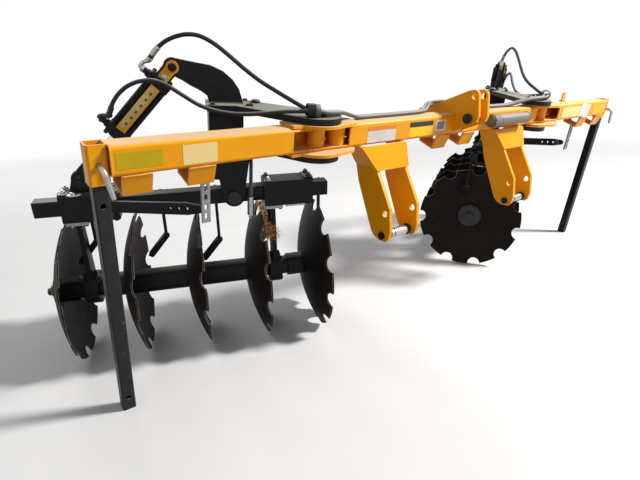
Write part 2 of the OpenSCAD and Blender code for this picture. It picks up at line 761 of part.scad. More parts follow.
barrel(-1);  // right_barrel
barrel(1);  // left_barrel
scale_bar(-1);  // right_scale_bar
scale_bar(1);  // left_scale_bar
rod(-1);  // right_rod
rod(1);  // left_rod
upper_hose(-1);  // right_upper_hose
upper_hose(1);  // left_upper_hose
lower_hose(-1);  // right_lower_hose
lower_hose(1);  // left_lower_hose
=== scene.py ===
import json
import random
from math import atan, atan2, cos, degrees, hypot, pi, radians, sin, sqrt, tan

import bmesh
import bpy
from mathutils import Matrix, Vector


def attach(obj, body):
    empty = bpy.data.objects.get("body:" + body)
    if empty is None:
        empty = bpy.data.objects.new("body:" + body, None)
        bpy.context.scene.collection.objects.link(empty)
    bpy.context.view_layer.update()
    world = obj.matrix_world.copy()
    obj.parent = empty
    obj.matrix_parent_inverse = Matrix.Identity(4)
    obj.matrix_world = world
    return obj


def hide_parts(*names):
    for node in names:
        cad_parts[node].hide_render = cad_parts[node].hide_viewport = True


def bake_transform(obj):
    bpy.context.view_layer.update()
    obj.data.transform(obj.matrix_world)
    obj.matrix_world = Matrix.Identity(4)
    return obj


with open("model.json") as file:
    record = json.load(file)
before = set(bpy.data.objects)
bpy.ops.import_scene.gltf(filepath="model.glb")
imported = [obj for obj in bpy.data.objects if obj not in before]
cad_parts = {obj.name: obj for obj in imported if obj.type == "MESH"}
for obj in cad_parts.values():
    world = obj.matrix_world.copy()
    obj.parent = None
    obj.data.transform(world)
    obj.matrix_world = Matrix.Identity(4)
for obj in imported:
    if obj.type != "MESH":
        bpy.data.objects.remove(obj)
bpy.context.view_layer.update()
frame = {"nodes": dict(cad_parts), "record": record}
nodes = frame["nodes"]
slot_of_node = {p["node"]: p["material_slot"] for p in frame["record"]["subparts"]}

# ---- Sizes repeated from the CAD source, in millimetres and degrees ----

# The whole machine: how far it leans, its middle from the toolbar's, and its two sides
PITCH = 8.9
MIDDLE = (-53, 473)
SIDES = (-1, 1)
SIDE_NAME = {-1: "right", 1: "left"}

# Toolbar: half its width, its ends, the swivel sleeves, the hitch and mast pins, the foot of the angle strap
HALF_BAR = 51
BAR_END_X = 1734
LEG_HALF = 32.5
SOCKET_X = BAR_END_X + LEG_HALF
SLEEVE_X = (898, 786)
HITCH_X = 507.5
HITCH_PLATE = 91.5
HITCH_PIN = (-181, -450)
MAST_X = 37
MAST_PIN = (47, -134, 46)
STRAP_FOOT = (1400, 30, -245)

# Carriers: top of the lugs, thickness, yaw, the sleeve in use, and in the carrier's own frame the swivel pin,
# the gooseneck's tip, the rod's eye and the stop rod
LUG_TOP = 63
CARRIER_GAP = 0.3
CARRIER_PLATE = 26
YAW = {-1: 22.6, 1: 33.0}
PIN_X = {-1: SLEEVE_X[0], 1: SLEEVE_X[1]}
SWIVEL = (322.4, -225.4)
TIP = (-242, 553)
EYE = (-641, 122.5)
STOP_ROD = (74, -66)

# Gangs, from the tilt pin along the beam: discs, hangers and clamps; the scrapers, each from its disc and below
# the beam; the brace's end on the beam
DISC_R = 330
AXLE_DROP = 414
BEAM_DROP = 326
FIRST_DISC = -825
DISC_STEP = 288
DISC_X = [FIRST_DISC + DISC_STEP * i for i in range(5)]
HANGER_X = (FIRST_DISC + 0.5 * DISC_STEP, FIRST_DISC + 3.5 * DISC_STEP)
CLAMP_X = (HANGER_X[0] + 63, HANGER_X[1] + 75)
CLAMP_HALF = 97
SCRAPERS = ((180, -204), (208, -204), (169, -254), (130, -230), (105, -204))
BRACE_END = (-560, -77, 10)

# Cylinders: from the tip, the barrel's far end and its head; the rod's clevis, from its eye
BARREL_END = 372
BARREL_HEAD = 65
TIE_ROD = 39
ROD_CLEVIS = 78

HOSE_R = 8.5


def sind(a):
    return sin(radians(a))


def cosd(a):
    return cos(radians(a))


def turned(p, g):
    """The point p, turned by minus g degrees."""
    return (p[0] * cosd(g) + p[1] * sind(g), p[1] * cosd(g) - p[0] * sind(g))


def pivot_of(side):
    q = turned(SWIVEL, YAW[side])
    return (-PIN_X[side] - q[0], -q[1])


def tilt_of(side):
    """The tilt that brings the gang level, from its yaw and the toolbar's pitch."""
    return degrees(atan(sind(YAW[side]) * tan(radians(PITCH))))


def hang_of(side):
    rise = sqrt(1 - (cosd(YAW[side]) * sind(PITCH)) ** 2)
    return DISC_R + AXLE_DROP * rise - pivot_of(side)[1] * sind(PITCH)


# The toolbar stands as high as the right gang needs; the left carrier hangs from the same height
BAR_H = hang_of(-1) + BEAM_DROP * cosd(PITCH)


def drop_of(side):
    return (BAR_H - hang_of(side)) / cosd(PITCH)


def eye_of(side):
    return turned(EYE, -tilt_of(side))


def cyl_angle(side):
    e = eye_of(side)
    return degrees(atan2(TIP[1] - e[1], TIP[0] - e[0]))


def cyl_len(side):
    e = eye_of(side)
    return hypot(TIP[1] - e[1], TIP[0] - e[0])


# Frames: each takes millimetres to the row frame's metres
def move(x, y, z):
    return Matrix.Translation((x, y, z))


def turn(angle, axis):
    return Matrix.Rotation(radians(angle), 4, axis)


BAR = Matrix.Scale(0.001, 4) @ move(-MIDDLE[0], -MIDDLE[1], BAR_H) @ turn(PITCH, "X")
MIRROR = Matrix.Diagonal((-1, 1, 1, 1))
WING = {-1: BAR, 1: BAR @ MIRROR}
CARRIER = {}
GANG = {}
CYL = {}
for s in SIDES:
    pv = pivot_of(s)
    CARRIER[s] = WING[s] @ move(pv[0], pv[1], -drop_of(s)) @ turn(-YAW[s], "Z")
    GANG[s] = CARRIER[s] @ turn(-tilt_of(s), "Y")
    CYL[s] = CARRIER[s] @ move(TIP[0], 0, TIP[1]) @ turn(-cyl_angle(s), "Y")


def upright(p, axis):
    """A frame that stands on p with its Z along axis."""
    aim = Vector(axis).normalized().to_track_quat("Z", "Y")
    return Matrix.Translation(Vector(p)) @ aim.to_matrix().to_4x4()


# ---- Materials ----


class Shader:
    """A small builder for one procedural material, in the row frame's object coordinates."""

    def __init__(self, name):
        self.mat = bpy.data.materials.new(name)
        self.mat.use_nodes = True
        self.tree = self.mat.node_tree
        self.bsdf = self.tree.nodes["Principled BSDF"]
        self.where = self.node("TexCoord").outputs["Object"]

    def node(self, kind):
        return self.tree.nodes.new("ShaderNode" + kind)

    def link(self, a, b):
        self.tree.links.new(a, b)

    def put(self, socket, value):
        if isinstance(value, bpy.types.NodeSocket):
            self.link(value, socket)
        elif isinstance(value, tuple) and len(value) == 3 and socket.type == "RGBA":
            socket.default_value = (*value, 1)
        else:
            socket.default_value = value

    def scaled(self, scale):
        """The coordinates, stretched along the axes."""
        node = self.node("Mapping")
        self.link(self.where, node.inputs["Vector"])
        node.inputs["Scale"].default_value = scale
        return node.outputs[0]

    def noise(self, scale, detail, rough=0.6, stretch=None, twist=0.0):
        node = self.node("TexNoise")
        self.link(self.scaled(stretch) if stretch else self.where, node.inputs["Vector"])
        node.inputs["Scale"].default_value = scale
        node.inputs["Detail"].default_value = detail
        node.inputs["Roughness"].default_value = rough
        node.inputs["Distortion"].default_value = twist
        return node.outputs["Fac"]

    def cells(self, scale):
        """The distance to the nearest border of a pattern of cells."""
        node = self.node("TexVoronoi")
        node.feature = "DISTANCE_TO_EDGE"
        self.link(self.where, node.inputs["Vector"])
        node.inputs["Scale"].default_value = scale
        return node.outputs["Distance"]

    def ramp(self, value, low, high, a=0.0, b=1.0):
        """a where value is low, b where it is high, and straight between."""
        node = self.node("MapRange")
        node.clamp = True
        self.put(node.inputs["Value"], value)
        for key, v in (("From Min", low), ("From Max", high), ("To Min", a), ("To Max", b)):
            node.inputs[key].default_value = v
        return node.outputs["Result"]

    def sums(self, operation, a, b):
        """One of Blender's Math operations on two numbers or sockets."""
        node = self.node("Math")
        node.operation = operation
        node.use_clamp = operation in ("ADD", "SUBTRACT")
        self.put(node.inputs[0], a)
        self.put(node.inputs[1], b)
        return node.outputs[0]

    def mix(self, amount, a, b):
        node = self.node("Mix")
        node.data_type = "RGBA"
        self.put(node.inputs[0], amount)
        self.put(node.inputs[6], a)
        self.put(node.inputs[7], b)
        return node.outputs[2]

    def edges(self, radius, low=0.02, high=0.25):
        """1 on outer and inner edges, 0 on open faces."""
        round_node = self.node("Bevel")
        round_node.samples = 4
        round_node.inputs["Radius"].default_value = radius
        geo = self.node("NewGeometry")
        dot = self.node("VectorMath")
        dot.operation = "DOT_PRODUCT"
        self.link(round_node.outputs["Normal"], dot.inputs[0])
        self.link(geo.outputs["Normal"], dot.inputs[1])
        return self.ramp(dot.outputs["Value"], 1 - low, 1 - high)

    def facing_up(self, low=0.35, high=0.95):
        """1 on faces that look up, where dust lies."""
        geo = self.node("NewGeometry")
        split = self.node("SeparateXYZ")
        self.link(geo.outputs["Normal"], split.inputs[0])
        return self.ramp(split.outputs["Z"], low, high)

    def bump(self, height, strength, distance):
        node = self.node("Bump")
        node.inputs["Strength"].default_value = strength
        node.inputs["Distance"].default_value = distance
        self.link(height, node.inputs["Height"])
        self.link(node.outputs["Normal"], self.bsdf.inputs["Normal"])

    def finish(self, colour, roughness, metallic=0.0):
        self.put(self.bsdf.inputs["Base Color"], colour)
        self.put(self.bsdf.inputs["Roughness"], roughness)
        self.put(self.bsdf.inputs["Metallic"], metallic)
        return self.mat


DUST = (0.56, 0.42, 0.32)


def paint(name, colours, rough, chips, chip_colour, dust, edge_wear, gloss, scratch=0.0, dust_colour=DUST,
          slope=0.75):
    """Sprayed paint: slow fading, orange peel, chipped edges, and dust on what faces up."""
    base, shade, light = colours
    m = Shader(name)
    slow = m.noise(2.2, 4)
    colour = m.mix(m.ramp(slow, 0.35, 0.68), base, shade)
    colour = m.mix(m.ramp(m.noise(9, 6, 0.7), 0.52, 0.78, 0, 0.55), colour, light)
    fine = m.noise(60, 5, 0.7)
    worn = m.edges(0.005)
    worn = m.sums("MULTIPLY", worn, m.ramp(fine, 0.42, 0.62, 0, edge_wear))
    spots = m.ramp(m.noise(28, 8, 0.75), 0.74 - chips, 0.78 - chips)
    if scratch:
        lines = m.noise(40, 3, 0.5, stretch=(1, 0.1, 1), twist=0.4)
        spots = m.sums("MAXIMUM", spots, m.ramp(lines, 0.70, 0.74, 0, scratch))
    worn = m.sums("MAXIMUM", worn, spots)
    colour = m.mix(worn, colour, chip_colour)
    lying = m.ramp(m.noise(5, 7, 0.7), 0.25, 0.75, 0.55 * dust, dust)
    powder = m.sums("MULTIPLY", m.facing_up(slope, 0.97), lying)
    powder = m.sums("ADD", powder, m.ramp(m.noise(13, 8, 0.8), 0.5, 0.8, 0, 0.05 * dust))
    colour = m.mix(powder, colour, dust_colour)
    gloss_change = m.ramp(slow, 0.3, 0.7, rough - 0.07, rough + 0.1)
    roughness = m.sums("ADD", gloss_change, m.sums("MULTIPLY", powder, 0.4))
    peel = m.sums("ADD", m.noise(260, 2, 0.5), m.sums("MULTIPLY", m.noise(14, 3), 0.5))
    m.bump(m.sums("SUBTRACT", peel, m.sums("MULTIPLY", worn, 0.5)), 0.16, 0.0008)
    m.bsdf.inputs["Specular IOR Level"].default_value = gloss
    return m.finish(colour, roughness)


def metal(name, base, shade, tint, tint_amount, rough, shine=0.9, brushed=None, dust=0.0):
    """Bare or plated metal with stains, fine scratches and rubbed edges."""
    m = Shader(name)
    slow = m.noise(11, 6, 0.7)
    colour = m.mix(m.ramp(slow, 0.35, 0.7), base, shade)
    stain = m.ramp(m.noise(23, 8, 0.75, twist=0.6), 0.68 - 0.35 * tint_amount, 0.80 - 0.2 * tint_amount,
                   0, 0.9)
    colour = m.mix(stain, colour, tint)
    grain = m.noise(190, 3, 0.6, stretch=brushed or (1, 1, 1))
    rub = m.edges(0.003)
    bright = tuple(min(1, c * 1.35 + 0.05) for c in base)
    colour = m.mix(m.sums("MULTIPLY", rub, 0.55), colour, bright)
    if dust:
        powder = m.sums("MULTIPLY", m.facing_up(), m.ramp(m.noise(6, 6, 0.7), 0.25, 0.75, 0.3 * dust, dust))
        colour = m.mix(powder, colour, DUST)
    scratches = m.ramp(grain, 0.3, 0.7, rough - 0.08, rough + 0.08)
    roughness = m.sums("ADD", scratches, m.sums("MULTIPLY", stain, 0.3))
    m.bump(m.sums("ADD", grain, m.sums("MULTIPLY", stain, 0.6)), 0.2, 0.0006)
    return m.finish(colour, roughness, m.ramp(stain, 0, 1, shine, 0.2 * shine))


def disc_steel(name):
    """Dark rolled steel with soil polish near the rim, rust blooms and caked dirt."""
    m = Shader(name)
    slow = m.noise(4.5, 6, 0.7)
    colour = m.mix(m.ramp(slow, 0.38, 0.66), (0.0095, 0.0085, 0.0085), (0.020, 0.0155, 0.013))
    rust = m.ramp(m.noise(8, 8, 0.75, twist=0.8), 0.55, 0.78, 0, 0.65)
    colour = m.mix(rust, colour, (0.052, 0.021, 0.010))
    soil = m.ramp(m.noise(17, 8, 0.8), 0.60, 0.74, 0, 0.4)
    colour = m.mix(soil, colour, (0.075, 0.053, 0.035))
    rim = m.sums("MULTIPLY", m.edges(0.0035, 0.03, 0.3), m.ramp(m.noise(12, 5, 0.7), 0.3, 0.6, 0.15, 1.0))
    colour = m.mix(rim, colour, (0.62, 0.59, 0.54))
    m.bsdf.inputs["Specular IOR Level"].default_value = 0.1
    grain = m.noise(150, 5, 0.7)
    m.bump(m.sums("ADD", grain, m.sums("MULTIPLY", soil, 1.5)), 0.35, 0.0012)
    return m.finish(colour, m.ramp(slow, 0.3, 0.7, 0.52, 0.74), m.ramp(soil, 0, 0.5, 0.5, 0.1))


def rubber(name, base, light, least, most):
    """Hose rubber, with between the least and the most dust on its upper side."""
    m = Shader(name)
    slow = m.noise(7, 5, 0.65)
    colour = m.mix(m.ramp(slow, 0.35, 0.7), base, light)
    lying = m.ramp(m.noise(14, 6, 0.7), 0.25, 0.75, least, most)
    powder = m.sums("MULTIPLY", m.facing_up(0.25, 0.95), lying)
    colour = m.mix(powder, colour, (0.42, 0.39, 0.35))
    m.bsdf.inputs["Specular IOR Level"].default_value = 0.25
    m.bump(m.noise(420, 2, 0.5), 0.3, 0.0005)
    return m.finish(colour, m.ramp(slow, 0.3, 0.7, 0.45, 0.62))


def sheet_label(name, base, shade, rough=0.35, cells=0.0):
    """Printed or reflective film, a little yellowed and scuffed."""
    m = Shader(name)
    colour = m.mix(m.ramp(m.noise(14, 6, 0.7), 0.4, 0.72), base, shade)
    colour = m.mix(m.ramp(m.noise(90, 8, 0.8), 0.66, 0.72, 0, 0.5), colour, DUST)
    if cells:
        lines = m.ramp(m.cells(cells), 0.0, 0.12, 0.35, 0)
        colour = m.mix(lines, colour, shade)
        m.bump(lines, 0.3, 0.0004)
    else:
        m.bump(m.noise(70, 3, 0.5), 0.15, 0.0005)
    m.bsdf.inputs["Specular IOR Level"].default_value = 0.25
    return m.finish(colour, m.ramp(m.noise(20, 4), 0.3, 0.7, rough - 0.06, rough + 0.1))


def plastic(name, base, shade):
    """Moulded plastic, faded and dusty."""
    m = Shader(name)
    colour = m.mix(m.ramp(m.noise(8, 5, 0.65), 0.35, 0.7), base, shade)
    powder = m.sums("MULTIPLY", m.facing_up(0.2, 0.9), m.ramp(m.noise(9, 6, 0.7), 0.25, 0.75, 0.15, 0.6))
    colour = m.mix(powder, colour, DUST)
    m.bump(m.noise(300, 3, 0.6), 0.25, 0.0004)
    return m.finish(colour, m.ramp(m.noise(30, 4), 0.3, 0.7, 0.4, 0.58))


def straw(name):
    """Dry grass, pale and dark from one blade to the next."""
    m = Shader(name)
    colour = m.mix(m.ramp(m.noise(75, 3, 0.5), 0.42, 0.58), (1.0, 0.72, 0.40), (0.20, 0.075, 0.03))
    m.bump(m.noise(300, 3, 0.6), 0.4, 0.0005)
    return m.finish(colour, m.ramp(m.noise(50, 3), 0.3, 0.7, 0.7, 0.9))


YELLOW = ((0.88, 0.385, 0.002), (0.81, 0.330, 0.002), (0.90, 0.40, 0.006))
BLACK = ((0.0058, 0.0060, 0.0075), (0.0095, 0.0095, 0.012), (0.020, 0.019, 0.019))
BLACK_CHIP = (0.085, 0.075, 0.066)
TAN = (0.70, 0.53, 0.34)

# One material for each slot of the record
mats = {
    "yellow_paint": paint("yellow_paint", YELLOW, 0.36, 0.0, (0.90, 0.56, 0.16), dust=0.90, edge_wear=0.6,
                          dust_colour=TAN, gloss=0.25, slope=0.5),
    "black_paint": paint("black_paint", BLACK, 0.40, 0.02, BLACK_CHIP, dust=0.92, edge_wear=0.4, scratch=0.25,
                         dust_colour=(0.36, 0.33, 0.28), gloss=0.16),
    "worn_disc_steel": disc_steel("worn_disc_steel"),
    "bare_steel": metal("bare_steel", (0.34, 0.335, 0.33), (0.24, 0.235, 0.23), (0.22, 0.11, 0.055), 0.35,
                        0.42),
    "dark_steel": metal("dark_steel", (0.030, 0.030, 0.033), (0.018, 0.018, 0.020), (0.065, 0.038, 0.023),
                        0.4, 0.45, shine=0.7, dust=0.3),
    "zinc": metal("zinc", (0.46, 0.45, 0.44), (0.35, 0.34, 0.325), (0.30, 0.25, 0.19), 0.2, 0.36, shine=0.85,
                  dust=0.25),
    "galvanised": metal("galvanised", (0.30, 0.31, 0.32), (0.20, 0.21, 0.22), (0.26, 0.21, 0.16), 0.25, 0.5,
                        shine=0.6, dust=0.35),
    "grey_plastic": plastic("grey_plastic", (0.16, 0.148, 0.132), (0.115, 0.107, 0.098)),
    "hose_rubber": rubber("hose_rubber", (0.008, 0.008, 0.010), (0.015, 0.014, 0.014), 0.02, 0.22),
    "rod_chrome": metal("rod_chrome", (0.72, 0.72, 0.73), (0.60, 0.60, 0.61), (0.30, 0.22, 0.15), 0.05, 0.16,
                        shine=1.0, brushed=(1, 1, 0.06)),
}

# Variants of the slots' materials, and the labels
CLEAN_BLACK = paint("clean_black", BLACK, 0.42, 0.03, BLACK_CHIP, dust=0.22, edge_wear=0.4, scratch=0.25,
                    dust_colour=(0.15, 0.13, 0.11), gloss=0.16)
LEG_GREY = paint("leg_grey", ((0.0175, 0.0185, 0.022), (0.011, 0.012, 0.014), (0.042, 0.042, 0.044)), 0.42,
                 0.06, (0.16, 0.14, 0.12), dust=0.4, edge_wear=0.9, scratch=0.6, gloss=0.2)
# Beige for the leg's outer side: painted light bounced up from the ground, with a little dust
LEG_PAINTED_BOUNCE = paint("leg_painted_bounce", ((0.26, 0.21, 0.165), (0.15, 0.125, 0.10), (0.36, 0.29, 0.23)), 0.6, 0.06,
                 (0.05, 0.045, 0.04), dust=0.3, edge_wear=0.5, scratch=0.3, gloss=0.15)
DUSTY_RUBBER = rubber("dusty_rubber", (0.070, 0.067, 0.064), (0.125, 0.120, 0.115), 0.8, 1.0)
GREY_TOP_RUBBER = rubber("grey_top_rubber", (0.016, 0.015, 0.016), (0.028, 0.026, 0.026), 0.3, 0.85)
SLEEVE_GREY = plastic("sleeve_grey", (0.070, 0.083, 0.105), (0.048, 0.057, 0.073))
STRAW = straw("straw")
PALE_LABEL = sheet_label("pale_label", (0.88, 0.70, 0.30), (0.82, 0.63, 0.25))
WHITE_LABEL = sheet_label("white_label", (0.70, 0.70, 0.67), (0.60, 0.58, 0.54))
ORANGE_LABEL = sheet_label("orange_label", (0.80, 0.26, 0.06), (0.66, 0.22, 0.06))
SCALE_LABEL = sheet_label("scale_label", (0.78, 0.62, 0.27), (0.60, 0.46, 0.17))
YELLOW_LABEL = sheet_label("yellow_label", (0.92, 0.62, 0.01), (0.84, 0.54, 0.02))
BLACK_LABEL = sheet_label("black_label", (0.02, 0.02, 0.02), (0.04, 0.036, 0.03))
FRAME_GREY = sheet_label("frame_grey", (0.20, 0.21, 0.24), (0.15, 0.155, 0.17))
OLIVE_REFLECTOR = sheet_label("olive_reflector", (0.58, 0.40, 0.004), (0.48, 0.34, 0.005), 0.3, 260)
AMBER_REFLECTOR = sheet_label("amber_reflector", (0.88, 0.46, 0.01), (0.78, 0.38, 0.01), 0.22, 260)

# The CAD nodes: the slot's material, or the variant that the photograph shows
NODE_MATERIAL = {"right_leg": LEG_GREY, "stop_rods": mats["dark_steel"]}
for part in ("gang_beam", "beam_clamps", "bearing_hangers", "scrapers", "brace_bar", "barrel"):
    NODE_MATERIAL["right_" + part] = NODE_MATERIAL["left_" + part] = CLEAN_BLACK
SMOOTH = 32
for n, obj in nodes.items():
    obj.data.materials.clear()
    obj.data.materials.append(NODE_MATERIAL.get(n) or mats[slot_of_node[n]])
    for poly in obj.data.polygons:
        poly.use_smooth = True
        poly.material_index = 0
    obj.data.set_sharp_from_angle(angle=radians(SMOOTH))


def second_material(node, material, at, chosen):
    """Give the faces of a CAD node whose middle, in the frame at, passes the test another material."""
    data = nodes[node].data
    data.materials.append(material)
    back = at.inverted()
    for poly in data.polygons:
        if chosen(back @ poly.center):
            poly.material_index = 1


for s in SIDES:
    side = SIDE_NAME[s]
    # The rod's clevis, and the hangers' upper flange
    second_material(side + "_rod", mats["black_paint"], CYL[s], lambda p: p.x < -cyl_len(s) + ROD_CLEVIS + 5)
    second_material(side + "_bearing_hangers", mats["bare_steel"], GANG[s],
                    lambda p: -77.4 < p.z < -61 and abs(p.y) > 47)
# The leg's outer side in a beige that paints light bounced up from the ground, the lower link pins outside
# their sleeves, and the stop rods below the carriers
second_material("right_leg", LEG_PAINTED_BOUNCE, BAR, lambda p: p.x < -SOCKET_X - 28)
# Black on the link pins' ends: painted shade of the recessed clevis holes they sit in
second_material("hitch_pins", mats["black_paint"], BAR, lambda p: p.z < -380 and abs(abs(p.x) - HITCH_X) > 85)
second_material("stop_rods", mats["zinc"], CARRIER[-1], lambda p: p.z < -20)
second_material("stop_rods", mats["zinc"], CARRIER[1],
                lambda p: p.z < -20 and abs(p.x - STOP_ROD[0]) < 40)

# ---- Mesh helpers ----


def add_object(name, data):
    obj = bpy.data.objects.new(name, data)
    bpy.context.scene.collection.objects.link(obj)
    return obj


def round_edges(obj, width):
    """A bevel modifier of width metres on the sharp edges."""
    mod = obj.modifiers.new("edge", "BEVEL")
    mod.width = width
    mod.segments = 2
    mod.limit_method = "ANGLE"
    mod.angle_limit = radians(40)


def circle(r, n, start=0.0):
    """n points round a circle; start is in degrees."""
    return [(r * cos(a), r * sin(a)) for a in (radians(start) + 2 * pi * k / n for k in range(n))]


class Piece:
    """One mesh built from closed solids, each given in millimetres in the frame self.at."""

    def __init__(self, name, at, *materials):
        self.name = name
        self.at = at
        self.bm = bmesh.new()
        self.mats = list(materials)
        self.mat = 0

    def solid(self, points, faces, local=None):
        """One closed solid in the material self.mat; local is a frame inside self.at."""
        m = self.at @ local if local else self.at
        made = [self.bm.verts.new(m @ Vector(p)) for p in points]
        for f in faces:
            face = self.bm.faces.new([made[i] for i in f])
            face.material_index = self.mat

    def prism(self, outline, z0, z1, local=None):
        """An outline of (x, y) from z0 to z1."""
        k = len(outline)
        points = [(x, y, z) for z in (z0, z1) for x, y in outline]
        faces = [[i, (i + 1) % k, k + (i + 1) % k, k + i] for i in range(k)]
        self.solid(points, faces + [list(range(k))[::-1], list(range(k, 2 * k))], local)

    def box(self, lo, hi):
        self.prism([(lo[0], lo[1]), (hi[0], lo[1]), (hi[0], hi[1]), (lo[0], hi[1])], lo[2], hi[2])

    def lathe(self, profile, n, local):
        """Turned about Z: profile is (radius, height) from the axis at the bottom to the axis at the top."""
        points = []
        rows = []
        for r, z in profile:
            if r < 1e-6:
                rows.append([len(points)])
                points.append((0, 0, z))
            else:
                rows.append(list(range(len(points), len(points) + n)))
                points += [(x, y, z) for x, y in circle(r, n)]
        faces = []
        for a, b in zip(rows, rows[1:]):
            for k in range(n):
                j = (k + 1) % n
                if len(a) == 1 and len(b) > 1:
                    faces.append([a[0], b[j], b[k]])
                elif len(b) == 1 and len(a) > 1:
                    faces.append([a[k], a[j], b[0]])
                elif len(a) > 1:
                    faces.append([a[k], a[j], b[j], b[k]])
        self.solid(points, faces, local)

    def ring(self, profile, n, local=None):
        """A closed profile of (radius, height) turned about Z, with an open middle."""
        k = len(profile)
        points = [(r * x, r * y, z) for x, y in circle(1, n) for r, z in profile]
        faces = [[i * k + j, ((i + 1) % n) * k + j, ((i + 1) % n) * k + (j + 1) % k, i * k + (j + 1) % k]
                 for i in range(n) for j in range(k)]
        self.solid(points, faces, local)

    def rod(self, a, b, r, n, chamfer):
        """A round bar from a to b."""
        run = Vector(b) - Vector(a)
        c = min(chamfer, r * 0.4)
        length = run.length
        self.lathe([(0, 0), (r - c, 0), (r, c), (r, length - c), (r - c, length), (0, length)], n,
                   upright(a, run))

    def bolt(self, p, axis, size, washer=True, nut=False):
        """A hexagon head, or a nut on its thread's end, on a washer, standing on p along axis."""
        r = size * 0.87
        h = size * 0.66
        low = 0
        at = upright(p, axis)
        if washer:
            low = size * 0.16
            wide = size * 1.08
            self.lathe([(0, -0.5), (wide, -0.5), (wide, low * 0.8), (size * 1.02, low), (0, low)], 24, at)
        self.lathe([(0, low), (r, low), (r, low + h * 0.82), (r * 0.86, low + h), (0, low + h)], 6, at)
        if nut:
            top = low + h
            self.lathe([(0, top - 1), (size * 0.46, top - 1), (size * 0.46, top + size * 0.35),
                        (size * 0.38, top + size * 0.45), (0, top + size * 0.45)], 16, at)

    def tube(self, points, radius, n):
        """A tube along points; radius is one value or one for each point."""
        pts = [Vector(p) for p in points]
        k = len(pts)
        radii = radius if isinstance(radius, list) else [radius] * k
        tangents = [(pts[min(i + 1, k - 1)] - pts[max(i - 1, 0)]).normalized() for i in range(k)]
        side = tangents[0].orthogonal().normalized()
        verts = []
        for i in range(k):
            side = (side - tangents[i] * side.dot(tangents[i])).normalized()
            other = tangents[i].cross(side)
            verts += [pts[i] + (side * x + other * y) * radii[i] for x, y in circle(1, n)]
        faces = [[i * n + j, i * n + (j + 1) % n, (i + 1) * n + (j + 1) % n, (i + 1) * n + j]
                 for i in range(k - 1) for j in range(n)]
        self.solid(verts, faces + [list(range(n))[::-1], list(range((k - 1) * n, k * n))])

    def done(self, body, slot, replaces=(), smooth=SMOOTH, bevel=0.0, ride=True):
        """The finished object, riding on a body; bevel is in millimetres."""
        bmesh.ops.recalc_face_normals(self.bm, faces=self.bm.faces)
        mesh = bpy.data.meshes.new(self.name)
        self.bm.to_mesh(mesh)
        self.bm.free()
        for m in self.mats:
            mesh.materials.append(m)
        for poly in mesh.polygons:
            poly.use_smooth = True
        mesh.set_sharp_from_angle(angle=radians(smooth))
        obj = add_object(self.name, mesh)
        if bevel:
            round_edges(obj, bevel / 1000)
        if ride:
            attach(obj, body)
        if replaces:
            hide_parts(*replaces)
        return obj


def smooth_path(points, step=7.0):
    """A Catmull-Rom curve through the points, resampled about every step millimetres."""
    pts = [Vector(p) for p in points]
    ends = [pts[0] * 2 - pts[1]] + pts + [pts[-1] * 2 - pts[-2]]
    fine = []
    for i in range(1, len(ends) - 2):
        p0, p1, p2, p3 = ends[i - 1:i + 3]
        for k in range(12):
            t = k / 12
            fine.append(0.5 * (2 * p1 + (p2 - p0) * t + (2 * p0 - 5 * p1 + 4 * p2 - p3) * t * t
                               + (3 * p1 - p0 - 3 * p2 + p3) * t * t * t))
    fine.append(pts[-1])
    total = path_length(fine)
    count = max(4, round(total / step))
    out = [fine[0]]
    need = total / count
    gone = 0.0
    for a, b in zip(fine, fine[1:]):
        seg = (b - a).length
        while gone + seg >= need * len(out) - 1e-9 and len(out) < count:
            out.append(a.lerp(b, (need * len(out) - gone) / seg))
        gone += seg
    out.append(fine[-1])
    return out


def path_length(points):
    return sum((b - a).length for a, b in zip(points, points[1:]))


def sided(name, side):
    """The name of a piece that is plain on the near side."""
    return name if side < 0 else "left_" + name


# ---- Camera ----

# Fitted to the photograph: metres, degrees, and millimetres for the lens
CAMERA_PLACE = (-2.0634, -2.0807, 1.2174)
CAMERA_YAW = 37.335
CAMERA_DOWN = 18.236
CAMERA_ROLL = 1.48
LENS = 26.60
SENSOR = 36

up = Vector((0, 0, 1))
ahead = Vector((sind(CAMERA_YAW), cosd(CAMERA_YAW), 0))
level = Vector((cosd(CAMERA_YAW), -sind(CAMERA_YAW), 0))
sight = cosd(CAMERA_DOWN) * ahead - sind(CAMERA_DOWN) * up
below = -cosd(CAMERA_DOWN) * up - sind(CAMERA_DOWN) * ahead
right = cosd(CAMERA_ROLL) * level + sind(CAMERA_ROLL) * below
down = -sind(CAMERA_ROLL) * level + cosd(CAMERA_ROLL) * below
camera = add_object("camera", bpy.data.cameras.new("camera"))
camera.data.lens = LENS
camera.data.sensor_width = SENSOR
camera.data.clip_end = 100
camera.matrix_world = Matrix.Translation(CAMERA_PLACE) @ Matrix((right, -down, -sight)).transposed().to_4x4()
bpy.context.scene.camera = camera

# ---- Hoses ----

# The hose ring, from the swivel pin, and the two hoses' distance from its middle
RING = (-35, -62)
RING_Z = LUG_TOP + CARRIER_PLATE + 28
IN_RING = 12.5

# Routes from the cylinders' ports to the ring, in the carrier's frame, as in the CAD source
UPPER = [(-317, 0, 593), (-306, -3, 609), (-290, -8, 626), (-263, -16, 648), (-224, -28, 668),
         (-178, -42, 680), (-129, -58, 677), (-74, -80, 652), (-18, -102, 612), (39, -124, 568),
         (98, -148, 528), (158, -180, 496), (208, -222, 471), (246, -256, 453)]
LOWER = [(-500, -25, 356), (-480, -38, 405), (-460, -46, 436), (-440, -50, 458), (-412, -57, 480),
         (-370, -66, 499), (-318, -76, 506), (-268, -86, 492), (-212, -98, 460), (-146, -118, 424),
         (-84, -138, 406), (-22, -162, 400), (38, -190, 404), (96, -220, 414), (150, -250, 426),
         (200, -274, 435), (246, -282, 438)]


def ring_end(side, y):
    """The last points of a cylinder's hose, in the ring."""
    z = drop_of(side) + RING_Z
    return [(SWIVEL[0] + RING[0] + x, SWIVEL[1] + RING[1] + y, z) for x in (-20, -0.2)]


